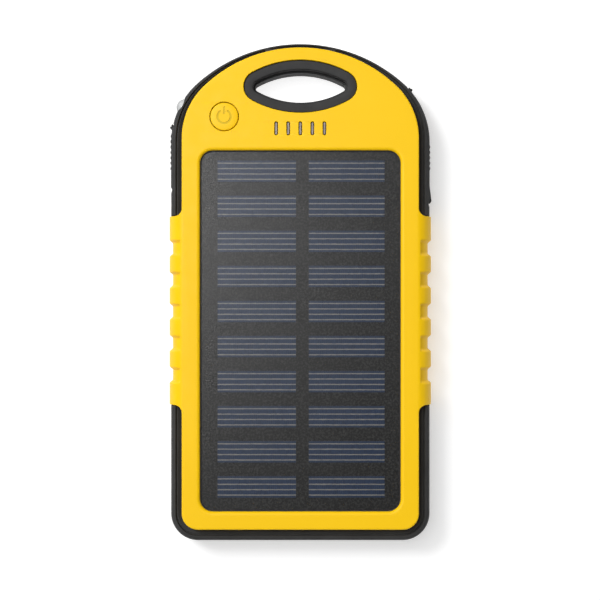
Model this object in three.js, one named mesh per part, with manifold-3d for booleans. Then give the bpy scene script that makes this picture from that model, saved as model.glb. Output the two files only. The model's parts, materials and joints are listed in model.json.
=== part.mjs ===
// A rugged pocket solar charger: two hard shells clamp a rubber bumper frame round a battery, a control board
// and a 20-cell solar panel. Millimetres, +Z up out of the solar face, +Y towards the carry loop.
// The origin is under the middle of the object, on the plane that it rests on.
import * as THREE from "three";
import { mergeVertices } from "three/addons/utils/BufferGeometryUtils.js";
import Module from "manifold-3d";

const wasm = await Module();
wasm.setup();

// ---------------------------------------------------------------------------------------------------------
// Driving dimensions
// ---------------------------------------------------------------------------------------------------------

const THICKNESS = 14;
const MID = THICKNESS / 2;

// Arched outlines: straight sides and foot, round bottom corners, two shoulder arcs and a crown arc.
const BUMPER = { halfWidth: 37.05, foot: -71, top: 71, crown: 44.5, shoulder: 22.5, corner: 7.8 };
const FACE = { halfWidth: 33.6, foot: -67.3, top: 69.35, crown: 39.6, shoulder: 20.6, corner: 4.6 };

// Heights of the front half. The rear half mirrors them about MID.
const PLATE_BOTTOM = 12.6; // underside of a shell's plate
const RIM_BOTTOM = 11.9; // a shell's rim, which stands on the bumper's ledge
const LEDGE = 11.7; // the bumper's ledge
const EDGE_CHAMFER = 0.5;
const ALL_HEIGHTS = [-1, THICKNESS + 1]; // right through the object
const BEYOND_SIDE = 45; // past the object's sides

// Bumper cross-section, as [share of the way from the FACE outline to the BUMPER outline, height].
const INNER_SHARE = -0.32;
const BEAD = [
  [0.36, LEDGE],
  [0.42, 11.15],
  [0.5, 11.15],
  [0.56, 11.65],
  [0.74, 11.3],
  [0.88, 10.3],
  [0.97, 8.8],
];

// The two ribbed side grips, where the shells wrap round the bumper.
const GRIP = { top: 21.6, bottom: -32, inner: 34.75, fillet: 2.2, seam: 0.1 };
const GRIP_SURFACE = [
  [33.2, 14],
  [34.2, 13.75],
  [35.5, 12.9],
  [36.6, 11.4],
  [37.3, 9.4],
  [37.55, MID],
];
const NOTCH = { count: 5, first: 12.6, pitch: 9.05, mouth: 4.8, floor: 2.8, depth: 1.05 };

// The carry loop: two long arcs joined by two end arcs, and the rubber funnel that lines it.
const LOOP = { x: 0, y: 58.55, halfLength: 16, halfHeight: 7.4, endArc: 4.4 };
const FUNNEL_WIDTH = 3; // from the loop's rim to its throat
const FUNNEL_TOP = 13.4;
const FLANGE = 1.2; // how far the funnel reaches under the shells

// The solar panel and its window.
const WINDOW = { halfWidth: 28.45, bottom: -62.15, top: 40.2, corner: 3.6 };
const WINDOW_BEVEL = 0.85;
const LIP_BOTTOM = 13.1;
const PANEL_MARGIN = 0.9; // how far the panel reaches under the lip
const CELL = { height: 6.05, thickness: 0.15 };
const CELL_ROWS = { count: 10, pitch: 9.96, top: 37.4 };
const CELL_COLUMNS = [
  [-23.5, -1.25],
  [2.4, 23.9],
]; // the left and right edge of each column

// Front controls.
const BUTTON = { x: -21.6, y: 49.8, radius: 4.1, gap: 0.2, flange: 4.9, stem: 1.3 };
const SLOT = { count: 5, pitch: 3.42, y: 46.4, width: 1, height: 3.9, gap: 0.1 };

// Port covers. The hinge is at an angle on the bumper's shoulder arc, and the free end is below it.
// The lug is the plug of rubber behind a cover, which fills the mouth of the tunnel to its sockets.
const USB_COVER = {
  side: 1,
  hingeAngle: 42.2,
  freeEnd: 25.6,
  lug: { x: 32.3, y: [27.5, 53.2], z: [4.3, 9.7] },
};
const MICRO_COVER = {
  side: -1,
  hingeAngle: 11.8,
  freeEnd: 29.5,
  lug: { x: 34.9, y: [34.9, 42.1], z: [4.3, 6.8] },
};
const COVER_Z = [3.4, 10.6];
const COVER_INNER_SHARE = 0.5;
const COVER_PROUD = 0.03; // as a share, so about 0.1 mm on the straight side
const COVER_GAP = 0.2;
const KNUCKLE = 0.6;

// Board and sockets.
const BOARD_TOP = 4.05;
const BOARD_THICKNESS = 1;
const USB_A = { x: [17.6, 31.6], y: [33.6, 48.1], halfWidth: 6.55, z: [4.15, 9.85], wall: 0.3 };
const MICRO_USB = { x: [-34.2, -28.6], y: 38.5, halfWidth: 3.75, z: [4.07, 6.95], wall: 0.25 };

// The torch LED points out of the left shoulder.
const TORCH = { angle: 151.5, radius: 2.4, tip: 1.1, clearance: 0.27 };

// Screws that hold the shells together.
const SCREW_PLACES = [
  [-20.2, 60.5],
  [20.2, 60.5],
  [-29.6, -63.6],
  [29.6, -63.6],
];
const SCREW = { head: 1.75, shank: 0.95, headZ: [0.2, 1.25], tip: 10.4, boss: 1.9 };

// ---------------------------------------------------------------------------------------------------------
// Materials
// ---------------------------------------------------------------------------------------------------------

function finish(color, roughness, metalness = 0, opacity = 1) {
  return new THREE.MeshStandardMaterial({ color, roughness, metalness, opacity, transparent: opacity < 1 });
}

const MATERIALS = {
  yellow: finish(0xf7c81e, 0.5),
  rubber: finish(0x222223, 0.65),
  inlay: finish(0x1d1d1e, 0.6),
  laminate: finish(0x26272a, 0.4),
  film: finish(0xc8d0d8, 0.35, 0, 0.3),
  cell: finish(0x1d2d55, 0.3),
  gasket: finish(0x111111, 0.9),
  clear: finish(0xe8eef2, 0.08, 0, 0.4),
  smoke: finish(0x9c928c, 0.3, 0, 0.8),
  board: finish(0x1c5a34, 0.5),
  steel: finish(0xb9bcc0, 0.3, 1),
  insulator: finish(0x151515, 0.5),
  foil: finish(0xb4b6ba, 0.4, 0.8),
  foam: finish(0x2b2b2d, 0.95),
  component: finish(0x1a1a1a, 0.5),
  ledBody: finish(0xe9e4d2, 0.5),
  wireRed: finish(0xb3261e, 0.5),
  wireBlack: finish(0x161616, 0.5),
};

// ---------------------------------------------------------------------------------------------------------
// Solid helpers
// ---------------------------------------------------------------------------------------------------------

// A closed geometry as a manifold-3d solid, turned the right way out.
function solidOf(geometry) {
  const bare = geometry.index ? geometry.toNonIndexed() : geometry;
  const positions = new THREE.BufferGeometry().setAttribute("position", bare.getAttribute("position"));
  const merged = mergeVertices(positions, 1e-4);
  const vertProperties = merged.attributes.position.array;
  const build = (triVerts) => new wasm.Manifold(new wasm.Mesh({ numProp: 3, vertProperties, triVerts }));
  const faces = new Uint32Array(merged.index.array);
  const made = build(faces);
  return made.volume() < 0 ? build(faces.slice().reverse()) : made;
}

function geometryOf(solid) {
  const mesh = solid.getMesh();
  const geometry = new THREE.BufferGeometry();
  geometry.setAttribute("position", new THREE.BufferAttribute(mesh.vertProperties, 3));
  geometry.setIndex(new THREE.BufferAttribute(mesh.triVerts, 1));
  geometry.computeVertexNormals();
  return geometry;
}

const cut = (solid, ...tools) => tools.flat().reduce((left, tool) => left.subtract(tool), solid);
const join = (solid, ...more) => more.flat().reduce((sum, piece) => sum.add(piece), solid);

function block([x0, x1], [y0, y1], [z0, z1]) {
  const box = new THREE.BoxGeometry(x1 - x0, y1 - y0, z1 - z0);
  return solidOf(box.translate((x0 + x1) / 2, (y0 + y1) / 2, (z0 + z1) / 2));
}

function post(x, y, radius, [z0, z1], segments = 24) {
  const cylinder = new THREE.CylinderGeometry(radius, radius, z1 - z0, segments).rotateX(Math.PI / 2);
  return solidOf(cylinder.translate(x, y, (z0 + z1) / 2));
}

// A flat outline, a list of Vector2, raised between two heights.
function slab(points, [z0, z1]) {
  const raised = new THREE.ExtrudeGeometry(new THREE.Shape(points), { depth: z1 - z0, bevelEnabled: false });
  return solidOf(raised.translate(0, 0, z0));
}

// Triangles that fill a flat ring of Vector3, wound the same way round as the ring.
function capFaces(ring) {
  const size = new THREE.Box3().setFromPoints(ring).getSize(new THREE.Vector3());
  const thinnest = ["x", "y", "z"].sort((a, b) => size[a] - size[b])[0];
  const [u, v] = ["x", "y", "z"].filter((axis) => axis !== thinnest);
  const flat = ring.map((p) => new THREE.Vector2(p[u], p[v]));
  const faces = THREE.ShapeUtils.triangulateShape(flat.slice(), []);
  const { area } = THREE.ShapeUtils;
  const agree = area(flat) * area(faces[0].map((i) => flat[i])) > 0;
  return agree ? faces : faces.map((face) => face.slice().reverse());
}

// Walls between successive rings of points, each ring a list of Vector3. Closed rings of rings make a torus,
// and open stacks get a cap at each end.
function skin(rings, closed) {
  const count = rings[0].length;
  const positions = [];
  const put = (...corners) => corners.forEach((p) => positions.push(p.x, p.y, p.z));
  const bands = closed ? rings.length : rings.length - 1;
  for (let i = 0; i < bands; i++) {
    const low = rings[i];
    const high = rings[(i + 1) % rings.length];
    for (let j = 0; j < count; j++) {
      const k = (j + 1) % count;
      put(low[j], low[k], high[k]);
      put(low[j], high[k], high[j]);
    }
  }
  if (!closed) {
    const first = rings[0];
    const last = rings[rings.length - 1];
    for (const [a, b, c] of capFaces(first)) {
      put(first[c], first[b], first[a]);
      put(last[a], last[b], last[c]);
    }
  }
  const geometry = new THREE.BufferGeometry();
  geometry.setAttribute("position", new THREE.Float32BufferAttribute(positions, 3));
  return solidOf(geometry);
}

const lift = (points, z) => points.map((p) => new THREE.Vector3(p.x, p.y, z));
const stack = (layers) => skin(layers.map(([points, z]) => lift(points, z)), false);
const mirrorZ = (z) => THICKNESS - z;

// ---------------------------------------------------------------------------------------------------------
// Outlines
// ---------------------------------------------------------------------------------------------------------

const ARC_STEPS = { corner: 7, shoulder: 12, crown: 18, loopLong: 12, loopEnd: 7, window: 6, slot: 6 };

function arc(x, y, radius, from, to, steps) {
  return Array.from({ length: steps + 1 }, (_, i) => {
    const angle = from + ((to - from) * i) / steps;
    return new THREE.Vector2(x + radius * Math.cos(angle), y + radius * Math.sin(angle));
  });
}

// The centre of an arched outline's right shoulder arc.
function shoulderCentre(spec) {
  const x = spec.halfWidth - spec.shoulder;
  const y = spec.top - spec.crown + Math.sqrt((spec.crown - spec.shoulder) ** 2 - x ** 2);
  return new THREE.Vector2(x, y);
}

// An arched outline, moved in by inset all round, anticlockwise from its bottom right corner.
function archOutline(spec, inset = 0) {
  const shoulder = shoulderCentre(spec);
  const crownY = spec.top - spec.crown;
  const turn = Math.atan2(shoulder.y - crownY, shoulder.x);
  const cornerX = spec.halfWidth - spec.corner;
  const cornerY = spec.foot + spec.corner;
  const right = [
    ...arc(cornerX, cornerY, spec.corner - inset, -Math.PI / 2, 0, ARC_STEPS.corner),
    ...arc(shoulder.x, shoulder.y, spec.shoulder - inset, 0, turn, ARC_STEPS.shoulder),
  ];
  const crown = arc(0, crownY, spec.crown - inset, turn, Math.PI - turn, ARC_STEPS.crown).slice(1, -1);
  const left = right.map((p) => new THREE.Vector2(-p.x, p.y)).reverse();
  return [...right, ...crown, ...left];
}

// An outline part of the way from FACE to BUMPER, which may be past either.
function sharedOutline(share) {
  const outer = archOutline(BUMPER);
  return archOutline(FACE).map((p, i) => p.clone().lerp(outer[i], share));
}

// A ring that follows the outlines, from a cross-section of [share, height].
const ringOf = (section) => skin(section.map(([share, z]) => lift(sharedOutline(share), z)), true);

// The loop's outline, moved in by inset all round. The long arcs meet the end arcs at a tangent.
function loopOutline(inset = 0) {
  const { halfLength, halfHeight, endArc } = LOOP;
  const endX = halfLength - endArc;
  const longArc = (endX ** 2 + halfHeight ** 2 - endArc ** 2) / (2 * (halfHeight - endArc));
  const drop = longArc - halfHeight;
  const turn = Math.atan2(drop, endX);
  const quarter = [
    ...arc(endX, 0, endArc - inset, 0, turn, ARC_STEPS.loopEnd),
    ...arc(0, -drop, longArc - inset, turn, Math.PI / 2, ARC_STEPS.loopLong).slice(1),
  ];
  const flip = (sx, sy) => (p) => new THREE.Vector2(sx * p.x, sy * p.y);
  const upper = [...quarter, ...quarter.slice(0, -1).reverse().map(flip(-1, 1))];
  const lower = upper.slice(1, -1).map(flip(-1, -1));
  return [...upper, ...lower].map((p) => p.add(new THREE.Vector2(LOOP.x, LOOP.y)));
}

// A rectangle with round corners, anticlockwise.
function roundedRectangle([x0, x1], [y0, y1], radius, steps) {
  const quarter = Math.PI / 2;
  return [
    ...arc(x1 - radius, y0 + radius, radius, -quarter, 0, steps),
    ...arc(x1 - radius, y1 - radius, radius, 0, quarter, steps),
    ...arc(x0 + radius, y1 - radius, radius, quarter, 2 * quarter, steps),
    ...arc(x0 + radius, y0 + radius, radius, 2 * quarter, 3 * quarter, steps),
  ];
}

function windowOutline(grow) {
  const { halfWidth, bottom, top, corner } = WINDOW;
  const across = [-halfWidth - grow, halfWidth + grow];
  return roundedRectangle(across, [bottom - grow, top + grow], corner + grow, ARC_STEPS.window);
}

function slotOutline(x, grow) {
  const halfWidth = SLOT.width / 2 + grow;
  const halfHeight = SLOT.height / 2 + grow;
  const across = [x - halfWidth, x + halfWidth];
  return roundedRectangle(across, [SLOT.y - halfHeight, SLOT.y + halfHeight], halfWidth - 0.01, ARC_STEPS.slot);
}

const slotPlaces = Array.from({ length: SLOT.count }, (_, i) => (i - (SLOT.count - 1) / 2) * SLOT.pitch);

// ---------------------------------------------------------------------------------------------------------
// Shells
// ---------------------------------------------------------------------------------------------------------

const PANEL_PLAY = 0.3;
const LOOP_HOLE_GAP = 0.1;
const SKIRT = { outer: 1.5, inner: 2.7, top: 22, depth: 3.8 };

// One shell is written as the front one. The rear one turns each height over.
const turned = (rear) => (z) => (rear ? mirrorZ(z) : z);
const span = (z, a, b) => [Math.min(z(a), z(b)), Math.max(z(a), z(b))];

function shellPlate(z) {
  const body = stack([
    [archOutline(FACE), z(RIM_BOTTOM)],
    [archOutline(FACE), z(THICKNESS - EDGE_CHAMFER)],
    [archOutline(FACE, EDGE_CHAMFER), z(THICKNESS)],
  ]);
  return cut(body, slab(archOutline(FACE, SKIRT.inner), span(z, RIM_BOTTOM - 1, PLATE_BOTTOM)));
}

// A wall inside the bumper that keeps it in place. It stops below the sockets.
function shellSkirt(z) {
  const heights = span(z, RIM_BOTTOM - SKIRT.depth, RIM_BOTTOM + 0.4);
  const outer = slab(archOutline(FACE, SKIRT.outer), heights);
  const wall = cut(outer, slab(archOutline(FACE, SKIRT.inner), heights));
  return cut(wall, block([-BEYOND_SIDE, BEYOND_SIDE], [SKIRT.top, BUMPER.top], ALL_HEIGHTS));
}

// The grip's surface at each height of GRIP_SURFACE, mirrored to the rear half.
const gripLevels = [
  ...GRIP_SURFACE.slice(0, -1).map(([x, z]) => [x, mirrorZ(z)]),
  ...GRIP_SURFACE.slice().reverse(),
];

// One channel across a grip. It fades out where the grip meets the flat face.
function notchCutter(side, y) {
  const beyond = 1.5;
  const slope = (NOTCH.mouth - NOTCH.floor) / 2 / NOTCH.depth;
  const rings = gripLevels.map(([x, z]) => {
    const depth = x < GRIP_SURFACE[1][0] ? -0.05 : NOTCH.depth;
    const mouth = NOTCH.floor / 2 + slope * (depth + beyond);
    return [
      new THREE.Vector3(side * (x + beyond), y - mouth, z),
      new THREE.Vector3(side * (x + beyond), y + mouth, z),
      new THREE.Vector3(side * (x - depth), y + NOTCH.floor / 2, z),
      new THREE.Vector3(side * (x - depth), y - NOTCH.floor / 2, z),
    ];
  });
  return skin(rings, false);
}

function gripPlan(side) {
  const wide = 40;
  const inside = FACE.halfWidth - 0.6;
  const edge = FACE.halfWidth;
  const { top, bottom, fillet } = GRIP;
  const curl = (y, up) => {
    const centre = y + up * fillet;
    const from = up > 0 ? -Math.PI / 2 : Math.PI;
    const to = up > 0 ? -Math.PI : Math.PI / 2;
    return arc(edge + fillet, centre, fillet, from, to, ARC_STEPS.window);
  };
  const points = [
    new THREE.Vector2(inside, bottom - fillet),
    ...curl(bottom, -1),
    new THREE.Vector2(wide, bottom),
    new THREE.Vector2(wide, top),
    ...curl(top, 1),
    new THREE.Vector2(inside, top + fillet),
  ];
  return points.map((p) => new THREE.Vector2(side * p.x, p.y));
}

function shellGrip(z, side) {
  const deep = MID + GRIP.seam;
  const section = [...GRIP_SURFACE.slice(0, -1), [GRIP_SURFACE.at(-1)[0], deep], [30, deep], [30, THICKNESS]];
  const ends = [GRIP.bottom - 3, GRIP.top + 3];
  const surface = skin(ends.map((y) => section.map(([x, h]) => new THREE.Vector3(side * x, y, z(h)))), false);
  const band = surface.intersect(slab(gripPlan(side), ALL_HEIGHTS));
  const inner = [side * 20, side * GRIP.inner].sort((a, b) => a - b);
  const outer = [side * 30, side * BEYOND_SIDE].sort((a, b) => a - b);
  const underLedge = span(z, MID - 1, RIM_BOTTOM);
  const aboveEnd = block(outer, [GRIP.top, GRIP.top + 5], underLedge);
  const belowEnd = block(outer, [GRIP.bottom - 5, GRIP.bottom], underLedge);
  const places = Array.from({ length: NOTCH.count }, (_, i) => NOTCH.first - i * NOTCH.pitch);
  const notches = places.map((y) => notchCutter(side, y));
  return cut(band, block(inner, [-60, 60], underLedge), aboveEnd, belowEnd, notches);
}

function shellBase(rear) {
  const z = turned(rear);
  const grips = [1, -1].map((side) => shellGrip(z, side));
  const body = join(shellPlate(z), shellSkirt(z), grips);
  return cut(body, slab(loopOutline(-LOOP_HOLE_GAP), ALL_HEIGHTS));
}

function frontShell() {
  const above = THICKNESS + 0.2;
  const bosses = SCREW_PLACES.map(([x, y]) => post(x, y, SCREW.boss, [6.2, PLATE_BOTTOM + 0.4]));
  const pilots = SCREW_PLACES.map(([x, y]) => post(x, y, SCREW.shank + 0.1, [5, SCREW.tip + 0.4], 16));
  const opening = stack([
    [windowOutline(0), LIP_BOTTOM - 0.3],
    [windowOutline(0), LIP_BOTTOM + 0.2],
    [windowOutline(WINDOW_BEVEL), THICKNESS],
    [windowOutline(WINDOW_BEVEL), above],
  ]);
  const seat = slab(windowOutline(PANEL_MARGIN + PANEL_PLAY), [PLATE_BOTTOM - 0.5, LIP_BOTTOM]);
  const buttonHole = post(BUTTON.x, BUTTON.y, BUTTON.radius + BUTTON.gap, [11, above], 40);
  const slots = slotPlaces.map((x) => slab(slotOutline(x, 0), [11, above]));
  return cut(join(shellBase(false), bosses), pilots, opening, seat, buttonHole, slots);
}

const INLAY = { depth: 0.8, recess: 0.15, gap: 0.15 };
const BOARD_POSTS = [
  [-14, 31.5],
  [14, 31.5],
  [-27.5, 44.5],
  [14, 44.5],
];

function rearShell() {
  const floor = 1.8;
  const floorSlab = slab(archOutline(FACE, SKIRT.inner - 0.5), [0.5, floor]);
  const bosses = SCREW_PLACES.map(([x, y]) => post(x, y, SCREW.boss, [1, 5.9]));
  const standoffs = BOARD_POSTS.map(([x, y]) => post(x, y, 1.4, [1, BOARD_TOP - BOARD_THICKNESS - 0.05], 16));
  const shanks = SCREW_PLACES.map(([x, y]) => post(x, y, SCREW.shank + 0.25, [-1, 7], 16));
  const heads = SCREW_PLACES.map(([x, y]) => post(x, y, SCREW.head + 0.15, [-1, SCREW.headZ[1] + 0.05]));
  const pocket = slab(windowOutline(0), [-1, INLAY.depth]);
  const loopHole = slab(loopOutline(-LOOP_HOLE_GAP), ALL_HEIGHTS);
  const flangeRoom = slab(loopOutline(-FLANGE - 0.3), [mirrorZ(LEDGE) - 0.5, THICKNESS]);
  return cut(join(shellBase(true), floorSlab, bosses, standoffs), shanks, heads, pocket, loopHole, flangeRoom);
}

const rearInlay = () => slab(windowOutline(-INLAY.gap), [INLAY.recess, INLAY.depth - 0.05]);

// ---------------------------------------------------------------------------------------------------------
// Bumper frame and its port covers
// ---------------------------------------------------------------------------------------------------------

const rad = THREE.MathUtils.degToRad;

// A point along the line that leaves the shoulder arc's centre at an angle, on the given side.
function shoulderPoint(side, angle, distance) {
  const centre = shoulderCentre(BUMPER);
  const x = centre.x + distance * Math.cos(angle);
  return new THREE.Vector2(side * x, centre.y + distance * Math.sin(angle));
}

const coverPivot = (cover) => shoulderPoint(cover.side, rad(cover.hingeAngle), BUMPER.shoulder - 0.1);

// The part of the bumper between a cover's hinge line and its free end, grown along the outline by gap.
function coverRegion(cover, gap) {
  const angle = rad(cover.hingeAngle) + gap / BUMPER.shoulder;
  const near = shoulderPoint(cover.side, angle, 14);
  const far = shoulderPoint(cover.side, angle, 36);
  const end = cover.freeEnd - gap;
  const wide = cover.side * (BEYOND_SIDE + 10);
  const points = [near, far, new THREE.Vector2(wide, far.y), new THREE.Vector2(wide, end)];
  return slab([...points, new THREE.Vector2(cover.side * 30, end)], ALL_HEIGHTS);
}

// The bead's section between a cover's two edges, from an inner share to the surface or past it.
function coverSection([z0, z1], innerShare, grow) {
  const crest = [
    [0.86, 10.6],
    [0.9, 10.2],
    [0.99, 8.8],
    [1.02, MID],
  ].map(([share, z]) => [share + grow, Math.min(z, z1)]);
  const under = crest.slice(0, -1).reverse().map(([share, z]) => [share, Math.max(mirrorZ(z), z0)]);
  return ringOf([[innerShare, z0], [innerShare, z1], ...crest, ...under]);
}

function portCover(cover) {
  const pivot = coverPivot(cover);
  const plate = coverSection(COVER_Z, COVER_INNER_SHARE, COVER_PROUD).intersect(coverRegion(cover, 0));
  const knuckle = post(pivot.x, pivot.y, KNUCKLE, COVER_Z, 16);
  const reach = [cover.side * cover.lug.x, cover.side * 36.2].sort((a, b) => a - b);
  const lugBlock = block(reach, cover.lug.y, cover.lug.z);
  const lug = lugBlock.intersect(slab(sharedOutline(COVER_INNER_SHARE + 0.1), COVER_Z));
  const body = join(plate, knuckle, lug);
  return cover === USB_COVER ? join(body, pullTab(cover)) : body;
}

// The lifted lip at a cover's free end.
function pullTab({ side, freeEnd }) {
  const lip = [
    [36.6, freeEnd + 4.7],
    [37.25, freeEnd + 4.7],
    [37.5, freeEnd + 0.2],
    [37.4, freeEnd],
    [36.6, freeEnd],
  ].map(([x, y]) => new THREE.Vector2(side * x, y));
  return slab(lip, [4.4, 9.6]);
}

// Room in the bumper for a cover, its knuckle and a fingernail under its free end.
function coverPocket(cover) {
  const heights = [COVER_Z[0] - COVER_GAP, COVER_Z[1] + COVER_GAP];
  const inner = COVER_INNER_SHARE - COVER_GAP / (BUMPER.halfWidth - FACE.halfWidth);
  const beyond = 2;
  const around = ringOf([
    [inner, heights[0]],
    [beyond, heights[0]],
    [beyond, heights[1]],
    [inner, heights[1]],
  ]);
  const pivot = coverPivot(cover);
  const knuckle = post(pivot.x, pivot.y, KNUCKLE + COVER_GAP, heights, 20);
  const nail = post(cover.side * 38.4, cover.freeEnd, 1.9, heights);
  return [around.intersect(coverRegion(cover, COVER_GAP)), knuckle, nail];
}

const SOCKET_GAP = 0.3;

// Thick walls round the sockets, with a tunnel through them.
function portBlocks() {
  const heights = [2.6, 11.4];
  const limit = slab(sharedOutline(0.3), heights);
  const blocks = [block([30.9, 38], [25.4, 56], heights), block([-38, -31], [33, 44], heights)];
  return blocks.map((b) => b.intersect(limit));
}

function portTunnels() {
  const grow = ([a, b]) => [a - SOCKET_GAP, b + SOCKET_GAP];
  const inside = 28;
  const usbY = [USB_A.y[0] - USB_A.halfWidth, USB_A.y[1] + USB_A.halfWidth];
  const microY = [MICRO_USB.y - MICRO_USB.halfWidth, MICRO_USB.y + MICRO_USB.halfWidth];
  return [
    block([inside, BEYOND_SIDE], grow(usbY), grow(USB_A.z)),
    block([-BEYOND_SIDE, -inside], grow(microY), grow(MICRO_USB.z)),
  ];
}

// A round solid about the torch's axis, from its profile of [distance past the bumper's surface, radius].
function aboutTorchAxis(profile) {
  const points = profile.map(([along, radius]) => new THREE.Vector2(radius, along));
  const lathe = new THREE.LatheGeometry(points, 28);
  const angle = rad(TORCH.angle);
  const out = new THREE.Vector3(Math.cos(angle), Math.sin(angle), 0);
  const turn = new THREE.Quaternion().setFromUnitVectors(new THREE.Vector3(0, 1, 0), out);
  const centre = shoulderCentre(BUMPER);
  const origin = new THREE.Vector3(-centre.x, centre.y, MID).addScaledVector(out, BUMPER.shoulder);
  return solidOf(lathe.applyQuaternion(turn).translate(origin.x, origin.y, origin.z));
}

// The funnel's throat: a soft lip at each face, then a straight wall.
function throat() {
  const lip = [
    [FUNNEL_WIDTH, 11.6],
    [FUNNEL_WIDTH - 0.15, 12.3],
    [FUNNEL_WIDTH - 0.6, 12.75],
    [0.35, FUNNEL_TOP],
    [0.35, FUNNEL_TOP + 1],
  ];
  const layers = [...lip.map(([inset, z]) => [inset, mirrorZ(z)]).reverse(), ...lip];
  return stack(layers.map(([inset, z]) => [loopOutline(inset), z]));
}

const GRIP_ROOM = 0.3;

function midFrame() {
  const half = [[INNER_SHARE, LEDGE], ...BEAD, [1, MID]];
  const mirrored = half.slice(0, -1).reverse().map(([share, z]) => [share, mirrorZ(z)]);
  const ring = ringOf([...half, ...mirrored]);
  const funnel = slab(loopOutline(LOOP_HOLE_GAP), [mirrorZ(FUNNEL_TOP), FUNNEL_TOP]);
  const flange = slab(loopOutline(-FLANGE), [mirrorZ(LEDGE), LEDGE]);
  const web = block([-10, 10], [64, 69.4], [mirrorZ(LEDGE), LEDGE]);
  const gripRoom = [1, -1].map((side) => {
    const across = [side * (GRIP.inner - GRIP_ROOM), side * BEYOND_SIDE].sort((a, b) => a - b);
    return block(across, [GRIP.bottom - GRIP_ROOM, GRIP.top + GRIP_ROOM], ALL_HEIGHTS);
  });
  const bore = TORCH.radius + TORCH.clearance;
  const torchBore = aboutTorchAxis([
    [-12, 0],
    [-12, 3.2],
    [-3.9, 3.2],
    [-3.9, bore],
    [6, bore],
    [6, 0],
  ]);
  const body = join(ring, funnel, flange, web, portBlocks());
  const pockets = [...coverPocket(USB_COVER), ...coverPocket(MICRO_COVER)];
  return cut(body, throat(), gripRoom, torchBore, portTunnels(), pockets);
}

// ---------------------------------------------------------------------------------------------------------
// Solar panel
// ---------------------------------------------------------------------------------------------------------

const SHEET_BOTTOM = 11.7;
const SHEET_TOP = 12.5;
const CELL_TOP = SHEET_TOP + CELL.thickness;
const FILM_TOP = CELL_TOP + 0.21;

function solarCell(row, column) {
  const top = CELL_ROWS.top - row * CELL_ROWS.pitch;
  return block(CELL_COLUMNS[column], [top - CELL.height, top], [SHEET_TOP, CELL_TOP]);
}

const panelSheet = (heights) => slab(windowOutline(PANEL_MARGIN), heights);

function panelGasket() {
  const sheet = slab(windowOutline(PANEL_MARGIN - 0.1), [FILM_TOP, LIP_BOTTOM]);
  return cut(sheet, slab(windowOutline(0.1), ALL_HEIGHTS));
}

// ---------------------------------------------------------------------------------------------------------
// Controls and electronics
// ---------------------------------------------------------------------------------------------------------

const SWITCH_TOP = 7.6;
const PLUNGER_TOP = 8.6;

function powerButton() {
  const cap = post(BUTTON.x, BUTTON.y, BUTTON.radius, [12, THICKNESS - 0.05], 40);
  const flange = post(BUTTON.x, BUTTON.y, BUTTON.flange, [11.5, PLATE_BOTTOM - 0.2], 40);
  const stem = post(BUTTON.x, BUTTON.y, BUTTON.stem, [PLUNGER_TOP + 0.02, 11.8], 20);
  return join(cap, flange, stem);
}

function switchBody() {
  const half = 3;
  const across = [BUTTON.x - half, BUTTON.x + half];
  const body = block(across, [BUTTON.y - half, BUTTON.y + half], [BOARD_TOP, SWITCH_TOP]);
  return cut(body, post(BUTTON.x, BUTTON.y, 1.9, [BOARD_TOP + 1.5, SWITCH_TOP + 1]));
}

const switchPlunger = () => post(BUTTON.x, BUTTON.y, 1.7, [BOARD_TOP + 2, PLUNGER_TOP]);

function lightGuide() {
  const end = slotPlaces.at(-1) + 1.5;
  const bar = block([-end, end], [SLOT.y - 1.6, SLOT.y + 1.6], [11.2, 12.4]);
  const fins = slotPlaces.map((x) => slab(slotOutline(x, -SLOT.gap), [5.2, THICKNESS - 0.3]));
  return join(bar, fins);
}

const indicatorLed = (x) => block([x - 0.6, x + 0.6], [SLOT.y - 1, SLOT.y + 1], [BOARD_TOP, BOARD_TOP + 0.8]);

function torchLed() {
  const steps = 6;
  const dome = Array.from({ length: steps + 1 }, (_, i) => {
    const angle = (i / steps) * (Math.PI / 2);
    const radius = i === steps ? 0 : TORCH.radius * Math.cos(angle);
    return [TORCH.tip - TORCH.radius + TORCH.radius * Math.sin(angle), radius];
  });
  return aboutTorchAxis([[-5.2, 0], [-5.2, 2.85], [-4.2, 2.85], [-4.2, TORCH.radius], ...dome]);
}

// A round wire along a soft curve through its points.
function wire(points, radius, steps = 14) {
  const path = new THREE.CatmullRomCurve3(points.map((p) => new THREE.Vector3(...p)), false, "centripetal");
  const round = new THREE.Shape(arc(0, 0, radius, 0, 2 * Math.PI, 8).slice(0, -1));
  return solidOf(new THREE.ExtrudeGeometry(round, { steps, extrudePath: path, bevelEnabled: false }));
}

// A lead leaves the LED's back, runs inwards and bends down to the board.
function torchLead(offset) {
  const angle = rad(TORCH.angle);
  const centre = shoulderCentre(BUMPER);
  const at = (along, z) => [
    -centre.x + (BUMPER.shoulder + along) * Math.cos(angle) + offset * Math.sin(angle),
    centre.y + (BUMPER.shoulder + along) * Math.sin(angle) - offset * Math.cos(angle),
    z,
  ];
  return wire([at(-5.25, MID), at(-6.8, MID), at(-7.7, MID - 0.6), at(-8, BOARD_TOP + 0.05)], 0.28, 10);
}

function mainBoard() {
  const outline = [
    [-30.6, 28],
    [30.5, 28],
    [30.5, 46.5],
    [28.2, 51.5],
    [25.6, 55],
    [18.2, 55],
    [18.2, 49.2],
    [-18.2, 49.2],
    [-18.2, 55],
    [-25.6, 55],
    [-28.2, 51.5],
    [-30.6, 46.5],
  ];
  const points = outline.map(([x, y]) => new THREE.Vector2(x, y));
  return slab(points, [BOARD_TOP - BOARD_THICKNESS, BOARD_TOP]);
}

function socketShell(x, y, halfWidth, z, wall, mouthSide) {
  const outer = block(x, [y - halfWidth, y + halfWidth], z);
  const inside = mouthSide > 0 ? [x[0] + wall, x[1] + 1] : [x[0] - 1, x[1] - wall];
  return cut(outer, block(inside, [y - halfWidth + wall, y + halfWidth - wall], [z[0] + wall, z[1] - wall]));
}

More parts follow.
